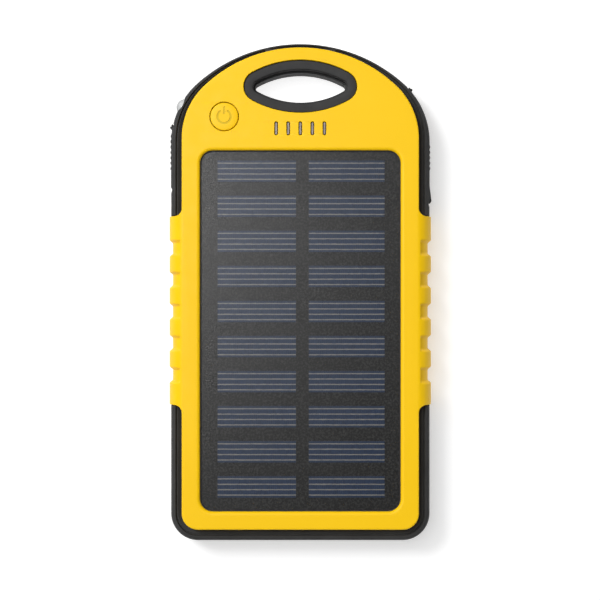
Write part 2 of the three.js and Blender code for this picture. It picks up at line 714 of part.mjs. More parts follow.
function usbTongue(y) {
  const [back, mouth] = USB_A.x;
  const inset = USB_A.wall + 0.05;
  const halfWidth = USB_A.halfWidth - inset;
  const heights = [USB_A.z[0] + inset, USB_A.z[1] - inset];
  const base = block([back + inset, back + 3.5], [y - halfWidth, y + halfWidth], heights);
  return join(base, block([back + 3, mouth - 1.4], [y - 5.6, y + 5.6], [MID + 0.15, MID + 2]));
}

function microTongue() {
  const [mouth, back] = MICRO_USB.x;
  const inset = MICRO_USB.wall + 0.05;
  const halfWidth = MICRO_USB.halfWidth - inset;
  const { y, z } = MICRO_USB;
  const base = block([back - 1.8, back - inset], [y - halfWidth, y + halfWidth], [z[0] + inset, z[1] - inset]);
  return join(base, block([mouth + 0.9, back - 1.5], [y - 2, y + 2], [z[0] + 1.1, z[0] + 1.75]));
}

const CELL_PACK = { halfWidth: 28.5, y: [-60.3, 26.5], z: [2, 8.8] };

function batteryCell() {
  const plan = roundedRectangle([-CELL_PACK.halfWidth, CELL_PACK.halfWidth], CELL_PACK.y, 2, 4);
  const inset = roundedRectangle([-CELL_PACK.halfWidth + 1, CELL_PACK.halfWidth - 1], CELL_PACK.y, 1.5, 4);
  const [low, high] = CELL_PACK.z;
  return stack([
    [inset, low],
    [plan, low + 1],
    [plan, high - 1],
    [inset, high],
  ]);
}

const foamPad = () => block([-27, 27], [-59, 25], [CELL_PACK.z[1], SHEET_BOTTOM - 0.1]);

// Each lead lies in the plane of one x, and its places are [y, z].
function lead(x, places, radius) {
  return wire(places.map(([y, z]) => [x, y, z]), radius);
}

const LEAD_END = BOARD_TOP + 0.05;
const SOLAR_LEAD = { radius: 0.55, places: [[38.5, SHEET_BOTTOM - 0.05], [38.2, 10.2], [35.5, 7.4], [34, 5.4]] };
const BATTERY_LEAD = { radius: 0.6, places: [[26.6, 5.6], [28.2, 6.1], [30.2, 6], [31.2, 5.2]] };
const solarLead = (x) => lead(x, [...SOLAR_LEAD.places, [33.8, LEAD_END]], SOLAR_LEAD.radius);
const batteryLead = (x) => lead(x, [...BATTERY_LEAD.places, [31.4, LEAD_END]], BATTERY_LEAD.radius);

function boostInductor() {
  return slab(roundedRectangle([-13.5, -7.5], [34.5, 40.5], 1.2, 4), [BOARD_TOP, BOARD_TOP + 3]);
}

const controllerChip = () => block([7.6, 12.6], [35.4, 39.4], [BOARD_TOP, BOARD_TOP + 1.5]);

// A pan-head screw with a cross recess in its head.
function screw(x, y) {
  const [headLow, headHigh] = SCREW.headZ;
  const profile = [
    [0, headLow],
    [1.35, headLow],
    [SCREW.head, headLow + 0.35],
    [SCREW.head, headHigh],
    [SCREW.shank, headHigh],
    [SCREW.shank, SCREW.tip - 0.8],
    [0.35, SCREW.tip],
    [0, SCREW.tip],
  ].map(([radius, z]) => new THREE.Vector2(radius, z));
  const body = solidOf(new THREE.LatheGeometry(profile, 20).rotateX(Math.PI / 2).translate(x, y, 0));
  const arm = 1.05;
  const blade = 0.22;
  const depth = [headLow - 1, headLow + 0.6];
  const recess = [
    block([x - arm, x + arm], [y - blade, y + blade], depth),
    block([x - blade, x + blade], [y - arm, y + arm], depth),
  ];
  return cut(body, recess);
}

// ---------------------------------------------------------------------------------------------------------
// Assembly
// ---------------------------------------------------------------------------------------------------------

const charger = new THREE.Group();
charger.name = "solar_charger";

function add(name, solid, material) {
  const mesh = new THREE.Mesh(geometryOf(solid), material);
  mesh.name = name;
  charger.add(mesh);
}

add("front_shell", frontShell(), MATERIALS.yellow);
add("rear_shell", rearShell(), MATERIALS.yellow);
add("rear_inlay", rearInlay(), MATERIALS.inlay);
add("mid_frame", midFrame(), MATERIALS.rubber);
add("usb_cover", portCover(USB_COVER), MATERIALS.rubber);
add("micro_usb_cover", portCover(MICRO_COVER), MATERIALS.rubber);

add("solar_backsheet", panelSheet([SHEET_BOTTOM, SHEET_TOP]), MATERIALS.laminate);
add("solar_film", panelSheet([CELL_TOP + 0.01, FILM_TOP]), MATERIALS.film);
add("panel_gasket", panelGasket(), MATERIALS.gasket);
for (let row = 0; row < CELL_ROWS.count; row++) {
  for (let column = 0; column < CELL_COLUMNS.length; column++) {
    add(`solar_cell_r${row + 1}_c${column + 1}`, solarCell(row, column), MATERIALS.cell);
  }
}

add("power_button", powerButton(), MATERIALS.yellow);
add("tact_switch_body", switchBody(), MATERIALS.component);
add("tact_switch_plunger", switchPlunger(), MATERIALS.component);
add("light_guide", lightGuide(), MATERIALS.smoke);
slotPlaces.forEach((x, i) => add(`indicator_led_${i + 1}`, indicatorLed(x), MATERIALS.ledBody));

add("torch_led", torchLed(), MATERIALS.clear);
add("torch_led_anode", torchLead(1.27), MATERIALS.steel);
add("torch_led_cathode", torchLead(-1.27), MATERIALS.steel);

add("main_board", mainBoard(), MATERIALS.board);
add("boost_inductor", boostInductor(), MATERIALS.component);
add("controller_chip", controllerChip(), MATERIALS.component);
USB_A.y.forEach((y, i) => {
  const shell = socketShell(USB_A.x, y, USB_A.halfWidth, USB_A.z, USB_A.wall, 1);
  add(`usb_socket_${i + 1}_shell`, shell, MATERIALS.steel);
  add(`usb_socket_${i + 1}_tongue`, usbTongue(y), MATERIALS.insulator);
});
const microShell = socketShell(MICRO_USB.x, MICRO_USB.y, MICRO_USB.halfWidth, MICRO_USB.z, MICRO_USB.wall, -1);
add("micro_usb_shell", microShell, MATERIALS.steel);
add("micro_usb_tongue", microTongue(), MATERIALS.insulator);

add("battery_cell", batteryCell(), MATERIALS.foil);
add("battery_foam_pad", foamPad(), MATERIALS.foam);
add("battery_lead_positive", batteryLead(5), MATERIALS.wireRed);
add("battery_lead_negative", batteryLead(2.4), MATERIALS.wireBlack);
add("solar_lead_positive", solarLead(-1.6), MATERIALS.wireRed);
add("solar_lead_negative", solarLead(-4.2), MATERIALS.wireBlack);

SCREW_PLACES.forEach(([x, y], i) => add(`case_screw_${i + 1}`, screw(x, y), MATERIALS.steel));

export default charger;
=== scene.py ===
"""The looks of a rugged pocket solar charger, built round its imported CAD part.

Lengths are in millimetres, in the CAD's frame, and meshes are scaled to metres as they are made.
"""

import json
import math

import bmesh
import bpy
import numpy as np
from mathutils import Matrix, Vector
from mathutils.geometry import tessellate_polygon


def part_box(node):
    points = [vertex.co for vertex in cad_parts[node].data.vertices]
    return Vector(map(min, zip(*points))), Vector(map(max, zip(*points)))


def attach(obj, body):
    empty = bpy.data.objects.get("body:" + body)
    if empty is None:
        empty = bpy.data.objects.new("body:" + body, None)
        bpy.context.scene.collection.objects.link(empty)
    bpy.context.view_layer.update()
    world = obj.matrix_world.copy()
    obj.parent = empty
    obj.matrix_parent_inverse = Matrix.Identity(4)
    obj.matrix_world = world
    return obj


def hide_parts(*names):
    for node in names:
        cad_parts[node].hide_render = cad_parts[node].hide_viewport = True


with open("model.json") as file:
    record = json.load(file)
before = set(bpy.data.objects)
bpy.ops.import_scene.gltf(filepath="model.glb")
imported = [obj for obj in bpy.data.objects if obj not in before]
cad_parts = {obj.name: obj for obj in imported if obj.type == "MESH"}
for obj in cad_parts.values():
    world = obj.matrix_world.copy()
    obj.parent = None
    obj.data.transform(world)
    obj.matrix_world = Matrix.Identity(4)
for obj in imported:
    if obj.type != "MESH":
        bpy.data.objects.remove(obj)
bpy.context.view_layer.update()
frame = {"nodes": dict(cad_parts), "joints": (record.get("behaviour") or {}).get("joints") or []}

MM = 0.001

# ---------------------------------------------------------------------------------------------------------
# Dimensions, the same as the CAD part's
# ---------------------------------------------------------------------------------------------------------

THICKNESS = 14.0
MID = THICKNESS / 2

BUMPER = {"half_width": 37.05, "foot": -71.0, "top": 71.0, "crown": 44.5, "shoulder": 22.5, "corner": 7.8}
FACE = {"half_width": 33.6, "foot": -67.3, "top": 69.35, "crown": 39.6, "shoulder": 20.6, "corner": 4.6}

PLATE_BOTTOM = 12.6
RIM_BOTTOM = 11.9
RIM_WIDTH = 2.2
LEDGE = 11.7
EDGE_ROUND = 0.4

GRIP = {"top": 21.6, "bottom": -32.0, "fillet": 2.2, "inner": 34.75}
GRIP_CURVE = [(33.2, 14.0), (34.1, 13.78), (35.4, 12.95), (36.5, 11.5), (37.25, 9.5), (37.55, 7.05)]
NOTCH = {"count": 5, "first": 12.6, "pitch": 9.05, "mouth": 4.9, "floor": 2.7, "depth": 0.95}

LOOP = {"y": 58.35, "half_length": 16.0, "half_height": 7.4, "end": 4.4}
FLANGE = 1.2

WINDOW = {"half_width": 28.45, "bottom": -62.15, "top": 40.2, "corner": 3.6}
LIP_BOTTOM = 13.1
PANEL_SEAT = 1.2

BUTTON = {"x": -21.55, "y": 49.75, "radius": 3.96, "gap": 0.22}
SLOTS = {"count": 5, "pitch": 3.42, "y": 46.4, "width": 1.0, "height": 3.9}

COVER_Z = (3.4, 10.6)
COVER_INNER = 0.5
COVER_GAP = 0.2
USB_COVER = {
    "name": "usb_cover",
    "side": 1,
    "free_end": 25.6,
    "lug": ((32.3, 36.2), (27.5, 53.2), (4.3, 9.7)),
    "ribs": (34.7, 42.4),
    "rib_count": 5,
    "tab": 0.55,
}
MICRO_COVER = {
    "name": "micro_usb_cover",
    "side": -1,
    "free_end": 29.5,
    "lug": ((34.9, 36.2), (34.9, 42.1), (4.3, 6.8)),
    "ribs": (34.7, 45.5),
    "rib_count": 7,
    "tab": 0,
}
RIB_HEIGHT = 0.16
NUB = {"height": 0.65, "along": 0.45, "reach": 0.45}
KNUCKLE = {"radius": 0.3, "room": 0.8}
NAIL_NICK = {"x": 38.4, "radius": 1.9}
PORT_CLEARANCE = 0.3
PORT_BLOCK_Z = (2.6, 10.2)

TORCH = {"angle": 151.5, "radius": 2.4, "tip": 1.1, "scallop": 4.0}
INLAY = {"depth": 0.8, "gap": 0.15}
SCREW_SINK = {"radius": 1.9, "depth": 1.3}
SCREWS = [(-20.2, 60.5), (20.2, 60.5), (-29.6, -63.6), (29.6, -63.6)]


# ---------------------------------------------------------------------------------------------------------
# Flat outlines, as arrays of (x, y)
# ---------------------------------------------------------------------------------------------------------


def arc(x, y, radius, start, end, steps):
    angles = np.linspace(start, end, steps + 1)
    return np.column_stack([x + radius * np.cos(angles), y + radius * np.sin(angles)])


def shoulder_centre(spec):
    x = spec["half_width"] - spec["shoulder"]
    y = spec["top"] - spec["crown"] + math.sqrt((spec["crown"] - spec["shoulder"]) ** 2 - x**2)
    return x, y


def arched(spec, grow=0.0, heights=()):
    """An arched outline, anticlockwise from its bottom right corner, with points at heights on its sides."""
    x, y = shoulder_centre(spec)
    crown_y = spec["top"] - spec["crown"]
    turn = math.atan2(y - crown_y, x)
    corner_x = spec["half_width"] - spec["corner"]
    corner_y = spec["foot"] + spec["corner"]
    side = np.array([(spec["half_width"] + grow, h) for h in heights]).reshape(-1, 2)
    right = np.vstack(
        [
            arc(corner_x, corner_y, spec["corner"] + grow, -math.pi / 2, 0, 16),
            side,
            arc(x, y, spec["shoulder"] + grow, 0, turn, 36),
        ]
    )
    crown = arc(0, crown_y, spec["crown"] + grow, turn, math.pi - turn, 48)[1:-1]
    left = (right * (-1, 1))[::-1]
    return np.vstack([right, crown, left])


def rounded_rectangle(x0, x1, y0, y1, radius, steps=12):
    quarter = math.pi / 2
    return np.vstack(
        [
            arc(x1 - radius, y0 + radius, radius, -quarter, 0, steps),
            arc(x1 - radius, y1 - radius, radius, 0, quarter, steps),
            arc(x0 + radius, y1 - radius, radius, quarter, 2 * quarter, steps),
            arc(x0 + radius, y0 + radius, radius, 2 * quarter, 3 * quarter, steps),
        ]
    )


def window(grow):
    half = WINDOW["half_width"] + grow
    bottom, top = WINDOW["bottom"] - grow, WINDOW["top"] + grow
    return rounded_rectangle(-half, half, bottom, top, WINDOW["corner"] + grow)


def loop(grow):
    """The carry loop's outline: two long arcs and two end arcs that meet at a tangent."""
    end, half_height = LOOP["end"], LOOP["half_height"]
    end_x = LOOP["half_length"] - end
    long_radius = (end_x**2 + half_height**2 - end**2) / (2 * (half_height - end))
    drop = long_radius - half_height
    turn = math.atan2(drop, end_x)
    quarter = np.vstack(
        [
            arc(end_x, 0, end + grow, 0, turn, 14),
            arc(0, -drop, long_radius + grow, turn, math.pi / 2, 20)[1:],
        ]
    )
    upper = np.vstack([quarter, (quarter[:-1] * (-1, 1))[::-1]])
    lower = upper[1:-1] * (-1, -1)
    return np.vstack([upper, lower]) + (0, LOOP["y"])


def circle(x, y, radius, steps=64):
    return arc(x, y, radius, 0, 2 * math.pi, steps)[:-1]


def slot_xs():
    return [(i - (SLOTS["count"] - 1) / 2) * SLOTS["pitch"] for i in range(SLOTS["count"])]


def slot_outline(x, grow):
    half_width = SLOTS["width"] / 2 + grow
    half_height = SLOTS["height"] / 2 + grow
    y = SLOTS["y"]
    return rounded_rectangle(
        x - half_width, x + half_width, y - half_height, y + half_height, half_width - 0.02, 8
    )


# ---------------------------------------------------------------------------------------------------------
# Meshes
# ---------------------------------------------------------------------------------------------------------


class Shape:
    """Vertices and faces, gathered ring by ring."""

    def __init__(self):
        self.vertices = []
        self.faces = []

    def ring(self, points):
        start = len(self.vertices)
        self.vertices.extend(tuple(float(c) for c in p) for p in points)
        return list(range(start, len(self.vertices)))

    def flat_ring(self, outline, z):
        return self.ring([(x, y, z) for x, y in outline])

    def bridge(self, low, high, closed=True):
        count = len(low)
        for i in range(count if closed else count - 1):
            j = (i + 1) % count
            self.faces.append((low[i], low[j], high[j], high[i]))

    def sweep(self, rings):
        for low, high in zip(rings, rings[1:]):
            self.bridge(low, high)
        return rings

    def fill(self, *loops):
        corners = [i for one in loops for i in one]
        polygons = [[Vector(self.vertices[i]) for i in one] for one in loops]
        for triangle in tessellate_polygon(polygons):
            self.faces.append(tuple(corners[k] for k in triangle))

    def solid(self, rings):
        """A stack of rings with both ends filled."""
        self.sweep(rings)
        self.fill(rings[0])
        self.fill(rings[-1])

    def make(self, name):
        mesh = bpy.data.meshes.new(name)
        mesh.from_pydata([tuple(c * MM for c in v) for v in self.vertices], [], self.faces)
        bm = bmesh.new()
        bm.from_mesh(mesh)
        bmesh.ops.remove_doubles(bm, verts=bm.verts, dist=1e-6)
        bmesh.ops.dissolve_degenerate(bm, edges=bm.edges, dist=1e-7)
        bmesh.ops.recalc_face_normals(bm, faces=bm.faces)
        bm.to_mesh(mesh)
        bm.free()
        obj = bpy.data.objects.new(name, mesh)
        bpy.context.scene.collection.objects.link(obj)
        return obj


def prism(outline, z0, z1, name="cutter"):
    shape = Shape()
    shape.solid([shape.flat_ring(outline, z0), shape.flat_ring(outline, z1)])
    return shape.make(name)


def box(x, y, z, name="cutter"):
    outline = [(x[0], y[0]), (x[1], y[0]), (x[1], y[1]), (x[0], y[1])]
    return prism(outline, *z, name=name)


def stack(layers, name):
    """A solid from [(outline, z), ...]."""
    shape = Shape()
    shape.solid([shape.flat_ring(outline, z) for outline, z in layers])
    return shape.make(name)


def lathe(profile, name, steps=64):
    """A solid of revolution about Z, from its profile of (radius, z), which starts and ends on the axis."""
    shape = Shape()
    rings = [shape.flat_ring(circle(0, 0, max(radius, 1e-5), steps), z) for radius, z in profile]
    shape.solid(rings)
    return shape.make(name)


def combine(target, other, operation):
    """Applies a boolean to target, and removes other."""
    modifier = target.modifiers.new("boolean", "BOOLEAN")
    modifier.operation = operation
    modifier.solver = "MANIFOLD"
    modifier.object = other
    graph = bpy.context.evaluated_depsgraph_get()
    made = bpy.data.meshes.new_from_object(target.evaluated_get(graph))
    target.modifiers.clear()
    target.data = made
    bpy.data.objects.remove(other)
    return target


def cut(target, *others):
    for other in others:
        combine(target, other, "DIFFERENCE")
    return target


def join(target, *others):
    for other in others:
        combine(target, other, "UNION")
    return target


def move(obj, matrix):
    obj.data.transform(matrix)
    return obj


def shade(obj, angle=32):
    """Smooth shading, with edges sharper than the angle kept crisp and flat faces kept flat."""
    obj.data.shade_smooth()
    obj.data.set_sharp_from_angle(angle=math.radians(angle))
    modifier = obj.modifiers.new("normals", "WEIGHTED_NORMAL")
    modifier.keep_sharp = True
    return obj


def dress(obj, material, body, slot, *nodes):
    """Gives a finished piece its material and its place in the frame."""
    shade(obj)
    obj.data.materials.clear()
    obj.data.materials.append(material)
    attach(obj, body)
    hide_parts(*nodes)
    return obj


def spread(line, count):
    """Points spread evenly along a line of points."""
    along = np.concatenate([[0], np.cumsum(np.linalg.norm(np.diff(line, axis=0), axis=1))])
    at = np.linspace(0, along[-1], count)
    return np.column_stack([np.interp(at, along, line[:, k]) for k in range(line.shape[1])])


def smooth_line(points, count):
    """Points spread evenly along a Catmull-Rom curve through the given ones."""
    p = np.array(points, float)
    p = np.vstack([2 * p[0] - p[1], p, 2 * p[-1] - p[-2]])
    t = np.linspace(0, 1, 24, endpoint=False)[:, None]
    fine = []
    for a, b, c, d in zip(p, p[1:], p[2:], p[3:]):
        square = (2 * a - 5 * b + 4 * c - d) * t**2
        cube = (3 * b - a - 3 * c + d) * t**3
        fine.append(0.5 * (2 * b + (c - a) * t + square + cube))
    return spread(np.vstack([*fine, p[-2]]), count)


def smoothstep(low, high, value):
    t = np.clip((value - low) / (high - low), 0, 1)
    return t * t * (3 - 2 * t)


# ---------------------------------------------------------------------------------------------------------
# Shells
# ---------------------------------------------------------------------------------------------------------

SLOPE_STEPS = 18
ROUND_STEPS = 5
CURVE = smooth_line([(x - FACE["half_width"], z) for x, z in GRIP_CURVE], 200)


def notch_depth(y):
    """How deep the grip's channels are at a height along the side."""
    depth = 0.0
    for i in range(NOTCH["count"]):
        away = abs(y - (NOTCH["first"] - i * NOTCH["pitch"]))
        depth += NOTCH["depth"] * (1 - smoothstep(NOTCH["floor"] / 2, NOTCH["mouth"] / 2, away))
    return depth


def plate_profile(reach):
    """The plate's edge where the shell reaches this far past its outline, as (outward, z) from top to inside.

    It has as many points as grip_profile, because the two follow one another round the shell.
    """
    radius = EDGE_ROUND
    last = np.searchsorted(CURVE[:, 0], max(reach - radius, CURVE[0, 0] + 0.01))
    if last > 1:
        slope = spread(CURVE[: last + 1], SLOPE_STEPS)
    else:
        slope = np.linspace(CURVE[0], CURVE[1], SLOPE_STEPS)
    turn = np.linspace(0, math.pi / 2, ROUND_STEPS + 1)[1:]
    x, z = slope[-1]
    corner = np.column_stack([x + (reach - x) * np.sin(turn), z - radius * (1 - np.cos(turn))])
    inside = [
        (reach, RIM_BOTTOM),
        (reach - 0.2, RIM_BOTTOM),
        (reach - 0.4, RIM_BOTTOM),
        (-RIM_WIDTH, RIM_BOTTOM),
        (-RIM_WIDTH, PLATE_BOTTOM),
    ]
    return np.vstack([slope, corner, inside])


def grip_profile(y):
    """The edge of the shell at a height along a grip, which wraps round to the parting line."""
    line = spread(CURVE, SLOPE_STEPS + ROUND_STEPS - 1)
    along = np.gradient(line, axis=0)
    inward = np.column_stack([-along[:, 1], along[:, 0]])
    inward *= -np.sign(inward[:, :1] + 1e-9) / np.linalg.norm(inward, axis=1, keepdims=True)
    fade = smoothstep(0.35, 0.95, line[:, 0])
    line = line + inward * (notch_depth(y) * fade)[:, None]
    x, z = line[-1]
    inner = GRIP["inner"] - FACE["half_width"]
    chamfer = 0.12
    line[-1] = (x, z + chamfer)
    inside = [
        (x - chamfer, z),
        (inner, z),
        (inner, z + 0.1),
        (inner, RIM_BOTTOM),
        (-RIM_WIDTH, RIM_BOTTOM),
        (-RIM_WIDTH, PLATE_BOTTOM),
    ]
    return np.vstack([line, inside])


def side_profile(y):
    """The shell's edge at a height along its straight side."""
    top, bottom, fillet = GRIP["top"], GRIP["bottom"], GRIP["fillet"]
    if bottom <= y <= top:
        return grip_profile(y)
    past = y - top if y > top else bottom - y
    reach = fillet - math.sqrt(fillet**2 - (fillet - past) ** 2) if past < fillet else 0.0
    return plate_profile(reach)


def shell_edge(shape):
    """Adds the shell's outer edge to shape. Returns its loops on the face and on the inside of the plate."""
    step = 0.01
    top, bottom, fillet = GRIP["top"], GRIP["bottom"], GRIP["fillet"]
    curl = fillet * (1 - np.cos(np.linspace(0, math.pi / 2, 9)))
    ys = np.concatenate(
        [
            [-60, -45],
            bottom - step - curl[::-1],
            np.arange(bottom, top, 0.24),
            [top],
            top + step + curl,
            [32, 38],
        ]
    )
    outline = arched(FACE, 0, ys)
    normals = arched(FACE, 1, ys) - outline
    on_side = np.abs(np.abs(outline[:, 0]) - FACE["half_width"]) < 1e-6
    profiles = [side_profile(p[1]) if on else plate_profile(0.0) for p, on in zip(outline, on_side)]
    rings = []
    for k in range(len(profiles[0])):
        edge = zip(outline, normals, profiles)
        rings.append(shape.ring([(*(p + n * profile[k, 0]), profile[k, 1]) for p, n, profile in edge]))
    shape.sweep(rings)
    return rings[0], rings[-1]


def hole(shape, outline, layers):
    """Adds a hole's wall, from layers of (grow, z). Returns its first and last loops."""
    rings = shape.sweep([shape.flat_ring(outline(grow), z) for grow, z in layers])
    return rings[0], rings[-1]


def shell(through, blind=()):
    """A shell with its face up, from the walls of its through holes and blind recesses."""
    shape = Shape()
    face, inside = shell_edge(shape)
    faces, insides = [face], [inside]
    for outline, layers in through:
        top, bottom = hole(shape, outline, layers + [(layers[-1][0], PLATE_BOTTOM)])
        faces.append(top)
        insides.append(bottom)
    for outline, layers in blind:
        top, floor = hole(shape, outline, layers)
        faces.append(top)
        shape.fill(floor)
    shape.fill(*faces)
    shape.fill(*insides)
    return shape


def soft_edge(grow, radius):
    """The rounded top edge of a hole: layers of (grow, z)."""
    turn = np.linspace(math.pi / 2, 0, 5)
    return [(grow + radius * (1 - math.cos(a)), THICKNESS - radius * (1 - math.sin(a))) for a in turn]


def front_shell():
    """The shell with the window, the loop, the button's hole and the five slots."""
    turn = np.linspace(0, math.pi / 2, 9)
    wide, deep = 0.98, 0.76
    bevel = [(wide * (1 - math.sin(a)), THICKNESS - deep * (1 - math.cos(a))) for a in turn]
    seat = [(0, LIP_BOTTOM), (PANEL_SEAT, LIP_BOTTOM)]
    button = BUTTON["radius"] + BUTTON["gap"]
    through = [
        (window, bevel + seat),
        (loop, soft_edge(0.1, 0.2)),
        (lambda grow: circle(BUTTON["x"], BUTTON["y"], button + grow, 96), soft_edge(0, 0.12)),
    ]
    through += [(lambda grow, x=x: slot_outline(x, grow), soft_edge(0, 0.12)) for x in slot_xs()]
    return shell(through).make("front_shell_body")


def rear_shell():
    """The shell with the loop, the grip panel's pocket and the screws' sinks, turned over."""
    edge = soft_edge(0, 0.2)
    sink = edge + [(0, THICKNESS - SCREW_SINK["depth"])]
    blind = [(window, edge + [(0, THICKNESS - INLAY["depth"])])]
    for x, y in SCREWS:
        blind.append((lambda grow, x=x, y=y: circle(x, y, SCREW_SINK["radius"] + grow, 40), sink))
    shape = shell([(loop, soft_edge(0.1, 0.2))], blind)
    shape.vertices = [(x, y, THICKNESS - z) for x, y, z in shape.vertices]
    return shape.make("rear_shell_body")


# ---------------------------------------------------------------------------------------------------------
# Bumper frame
# ---------------------------------------------------------------------------------------------------------

SIDE_YS = np.linspace(-60, 42, 52)
FACE_LINE = arched(FACE, 0, SIDE_YS)
BUMPER_LINE = arched(BUMPER, 0, SIDE_YS)


def shared(share):
    """An outline part of the way from FACE to BUMPER."""
    return FACE_LINE + (BUMPER_LINE - FACE_LINE) * share


def bead(share, height, steps=14):
    """The upper half of the bead's rounded section, from its top down to the middle, as (share, z)."""
    power = 0.8
    low = 0.56
    points = []
    for a in np.linspace(math.pi / 2, 0, steps):
        across, up = max(math.cos(a), 0) ** power, max(math.sin(a), 0) ** power
        points.append((low + (share - low) * across, MID + (height - MID) * up))
    return points


def bumper_section():
    """The bumper's section as (share, z), where share runs from 0 at the shells' outline to 1 at its own."""
    groove = [
        (-0.32, LEDGE),
        (-0.2, LEDGE),
        (-0.12, LEDGE - 1.1),
        (0.1, LEDGE - 1.1),
        (0.36, LEDGE - 0.5),
        (0.41, LEDGE - 0.55),
        (0.45, LEDGE - 0.85),
        (0.49, LEDGE - 0.85),
        (0.52, LEDGE - 0.45),
    ]
    upper = groove + bead(1.0, LEDGE)
    lower = [(share, THICKNESS - z) for share, z in upper[:-1]][::-1]
    return upper + lower


def ring_of(section, name):
    """A closed band round the rim, from its section of (share, z)."""
    shape = Shape()
    rings = [shape.flat_ring(shared(share), z) for share, z in section]
    shape.sweep(rings)
    shape.bridge(rings[-1], rings[0])
    return shape.make(name)


def funnel():
    """The rubber lining of the carry loop, with its flange under the shells."""
    front = [
        (FLANGE, LEDGE),
        (0.0, LEDGE + 0.05),
        (0.0, 13.1),
        (-0.08, 13.3),
        (-0.3, 13.4),
        (-1.3, 13.42),
        (-2.1, 13.38),
        (-2.42, 13.25),
        (-2.58, 12.95),
        (-2.62, 12.4),
        (-2.64, 10.75),
        (-2.74, 10.55),
        (-3.05, 10.5),
        (-3.18, 10.4),
        (-3.2, 10.1),
        (-3.05, MID + 0.35),
        (-2.98, MID + 0.12),
    ]
    back = [
        (-2.88, MID - 0.12),
        (-2.94, MID - 0.35),
        (-2.96, 4.0),
        (-2.92, 1.9),
        (-2.8, 1.45),
        (-2.5, 1.18),
        (-2.1, 1.05),
        (-0.35, 0.62),
        (-0.12, 0.6),
        (0.0, 0.75),
        (0.0, THICKNESS - LEDGE - 0.05),
        (FLANGE, THICKNESS - LEDGE),
    ]
    shape = Shape()
    rings = [shape.flat_ring(loop(grow), z) for grow, z in front + back]
    shape.sweep(rings)
    shape.bridge(rings[-1], rings[0])
    return shape.make("funnel")


def joint_pivot(name):
    """Where a hinge is, in millimetres."""
    joint = next(j for j in frame["joints"] if j["name"] == name)
    return Vector(joint["pos_m"]) / MM


def shoulder_point(side, angle, distance):
    """A point at an angle and a distance from the centre of the bumper's shoulder."""
    x, y = shoulder_centre(BUMPER)
    return side * (x + distance * math.cos(angle)), y + distance * math.sin(angle)


def hinge_angle(cover):
    """Where a cover's hinge is round the bumper's shoulder."""
    x, y = shoulder_centre(BUMPER)
    pivot = joint_pivot(cover["name"] + "_hinge")
    return math.atan2(pivot.y - y, abs(pivot.x) - x)


def cover_region(cover, gap):
    """A prism over the part of the bumper between a cover's hinge and its free end."""
    angle = hinge_angle(cover) + gap / BUMPER["shoulder"]
    side = cover["side"]
    inside, outside = side * 30, side * 55
    near, far = shoulder_point(side, angle, 14), shoulder_point(side, angle, 36)
    end = cover["free_end"] - gap
    points = [near, far, (outside, far[1]), (outside, end), (inside, end)]
    return prism(points[::side], -1, THICKNESS + 1)


def cover_pocket(cover):
    """Room in the bumper for a cover, with a rounded nick for a fingernail."""
    z0, z1 = COVER_Z[0] - COVER_GAP, COVER_Z[1] + COVER_GAP
    inner = COVER_INNER - 0.06
    pocket = ring_of([(inner, z0), (2.0, z0), (2.0, z1), (inner, z1)], "pocket")
    combine(pocket, cover_region(cover, COVER_GAP), "INTERSECT")
    pivot = joint_pivot(cover["name"] + "_hinge")
    knuckle = prism(circle(pivot.x, pivot.y, KNUCKLE["room"], 32), z0, z1)
    nail = prism(circle(cover["side"] * NAIL_NICK["x"], cover["free_end"], NAIL_NICK["radius"], 48), z0, z1)
    return [pocket, knuckle, nail]


def torch_point(distance):
    """A point on the torch's axis, at a distance outside the bumper's surface."""
    return shoulder_point(-1, math.pi - math.radians(TORCH["angle"]), BUMPER["shoulder"] + distance)


def on_torch_axis(obj):
    """Turns a solid of revolution so that its Z runs out along the torch's axis, from the bumper."""
    angle = math.radians(TORCH["angle"])
    out = Vector((math.cos(angle), math.sin(angle), 0))
    origin = Vector((*torch_point(0), MID))
    turn = Vector((0, 0, 1)).rotation_difference(out).to_matrix().to_4x4()
    turn.translation = origin * MM
    return move(obj, turn)


def sockets():
    """The corners of the two USB-A sockets together, and of the micro-USB socket, in millimetres."""
    first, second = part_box("usb_socket_1_shell"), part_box("usb_socket_2_shell")
    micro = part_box("micro_usb_shell")
    return (first[0] / MM, second[1] / MM), (micro[0] / MM, micro[1] / MM)


def port_block(x, y):
    """Rubber that fills in behind a cover, inside the rim."""
    return combine(box(x, y, PORT_BLOCK_Z), prism(shared(0.3), 2, 12), "INTERSECT")


def port_opening(x, corners):
    """Room for a socket, from x in the case out through the rim."""
    low, high = corners
    gap = PORT_CLEARANCE
    return box(x, (low.y - gap, high.y + gap), (low.z - gap, high.z + gap))


def torch_cutters():
    """A shallow scallop in the rim, and the bore behind it with room for the torch's flange."""
    scallop_depth = 0.95
    scallop = circle(*torch_point(TORCH["scallop"] - scallop_depth), TORCH["scallop"], 72)
    bore, flange, step = TORCH["radius"] + 0.27, 3.2, -3.9
    profile = [(0, -12), (flange, -12), (flange, step), (bore, step), (bore, 6), (0, 6)]
    return prism(scallop, -1, THICKNESS + 1), on_torch_axis(lathe(profile, "bore"))


def mid_frame():
    """The bumper with its lining of the loop, less the grips, the covers, the ports and the torch."""
    body = ring_of(bumper_section(), "mid_frame_body")
    gap = 0.3
    for side in (1, -1):
        x = sorted((side * (GRIP["inner"] - gap), side * 45))
        cut(body, box(x, (GRIP["bottom"] - gap, GRIP["top"] + gap), (-1, THICKNESS + 1)))
    web = box((-10, 10), (64, 69.2), (THICKNESS - LEDGE + 0.1, LEDGE - 0.1))
    usb, micro = sockets()
    join(body, web, funnel())
    join(body, port_block((30.9, 38), (25.4, 56)))
    join(body, port_block((-38, -31), (33, 44)))
    cut(body, *cover_pocket(USB_COVER), *cover_pocket(MICRO_COVER))
    cut(body, port_opening((28, 45), usb), port_opening((-45, -28), micro))
    return cut(body, *torch_cutters())


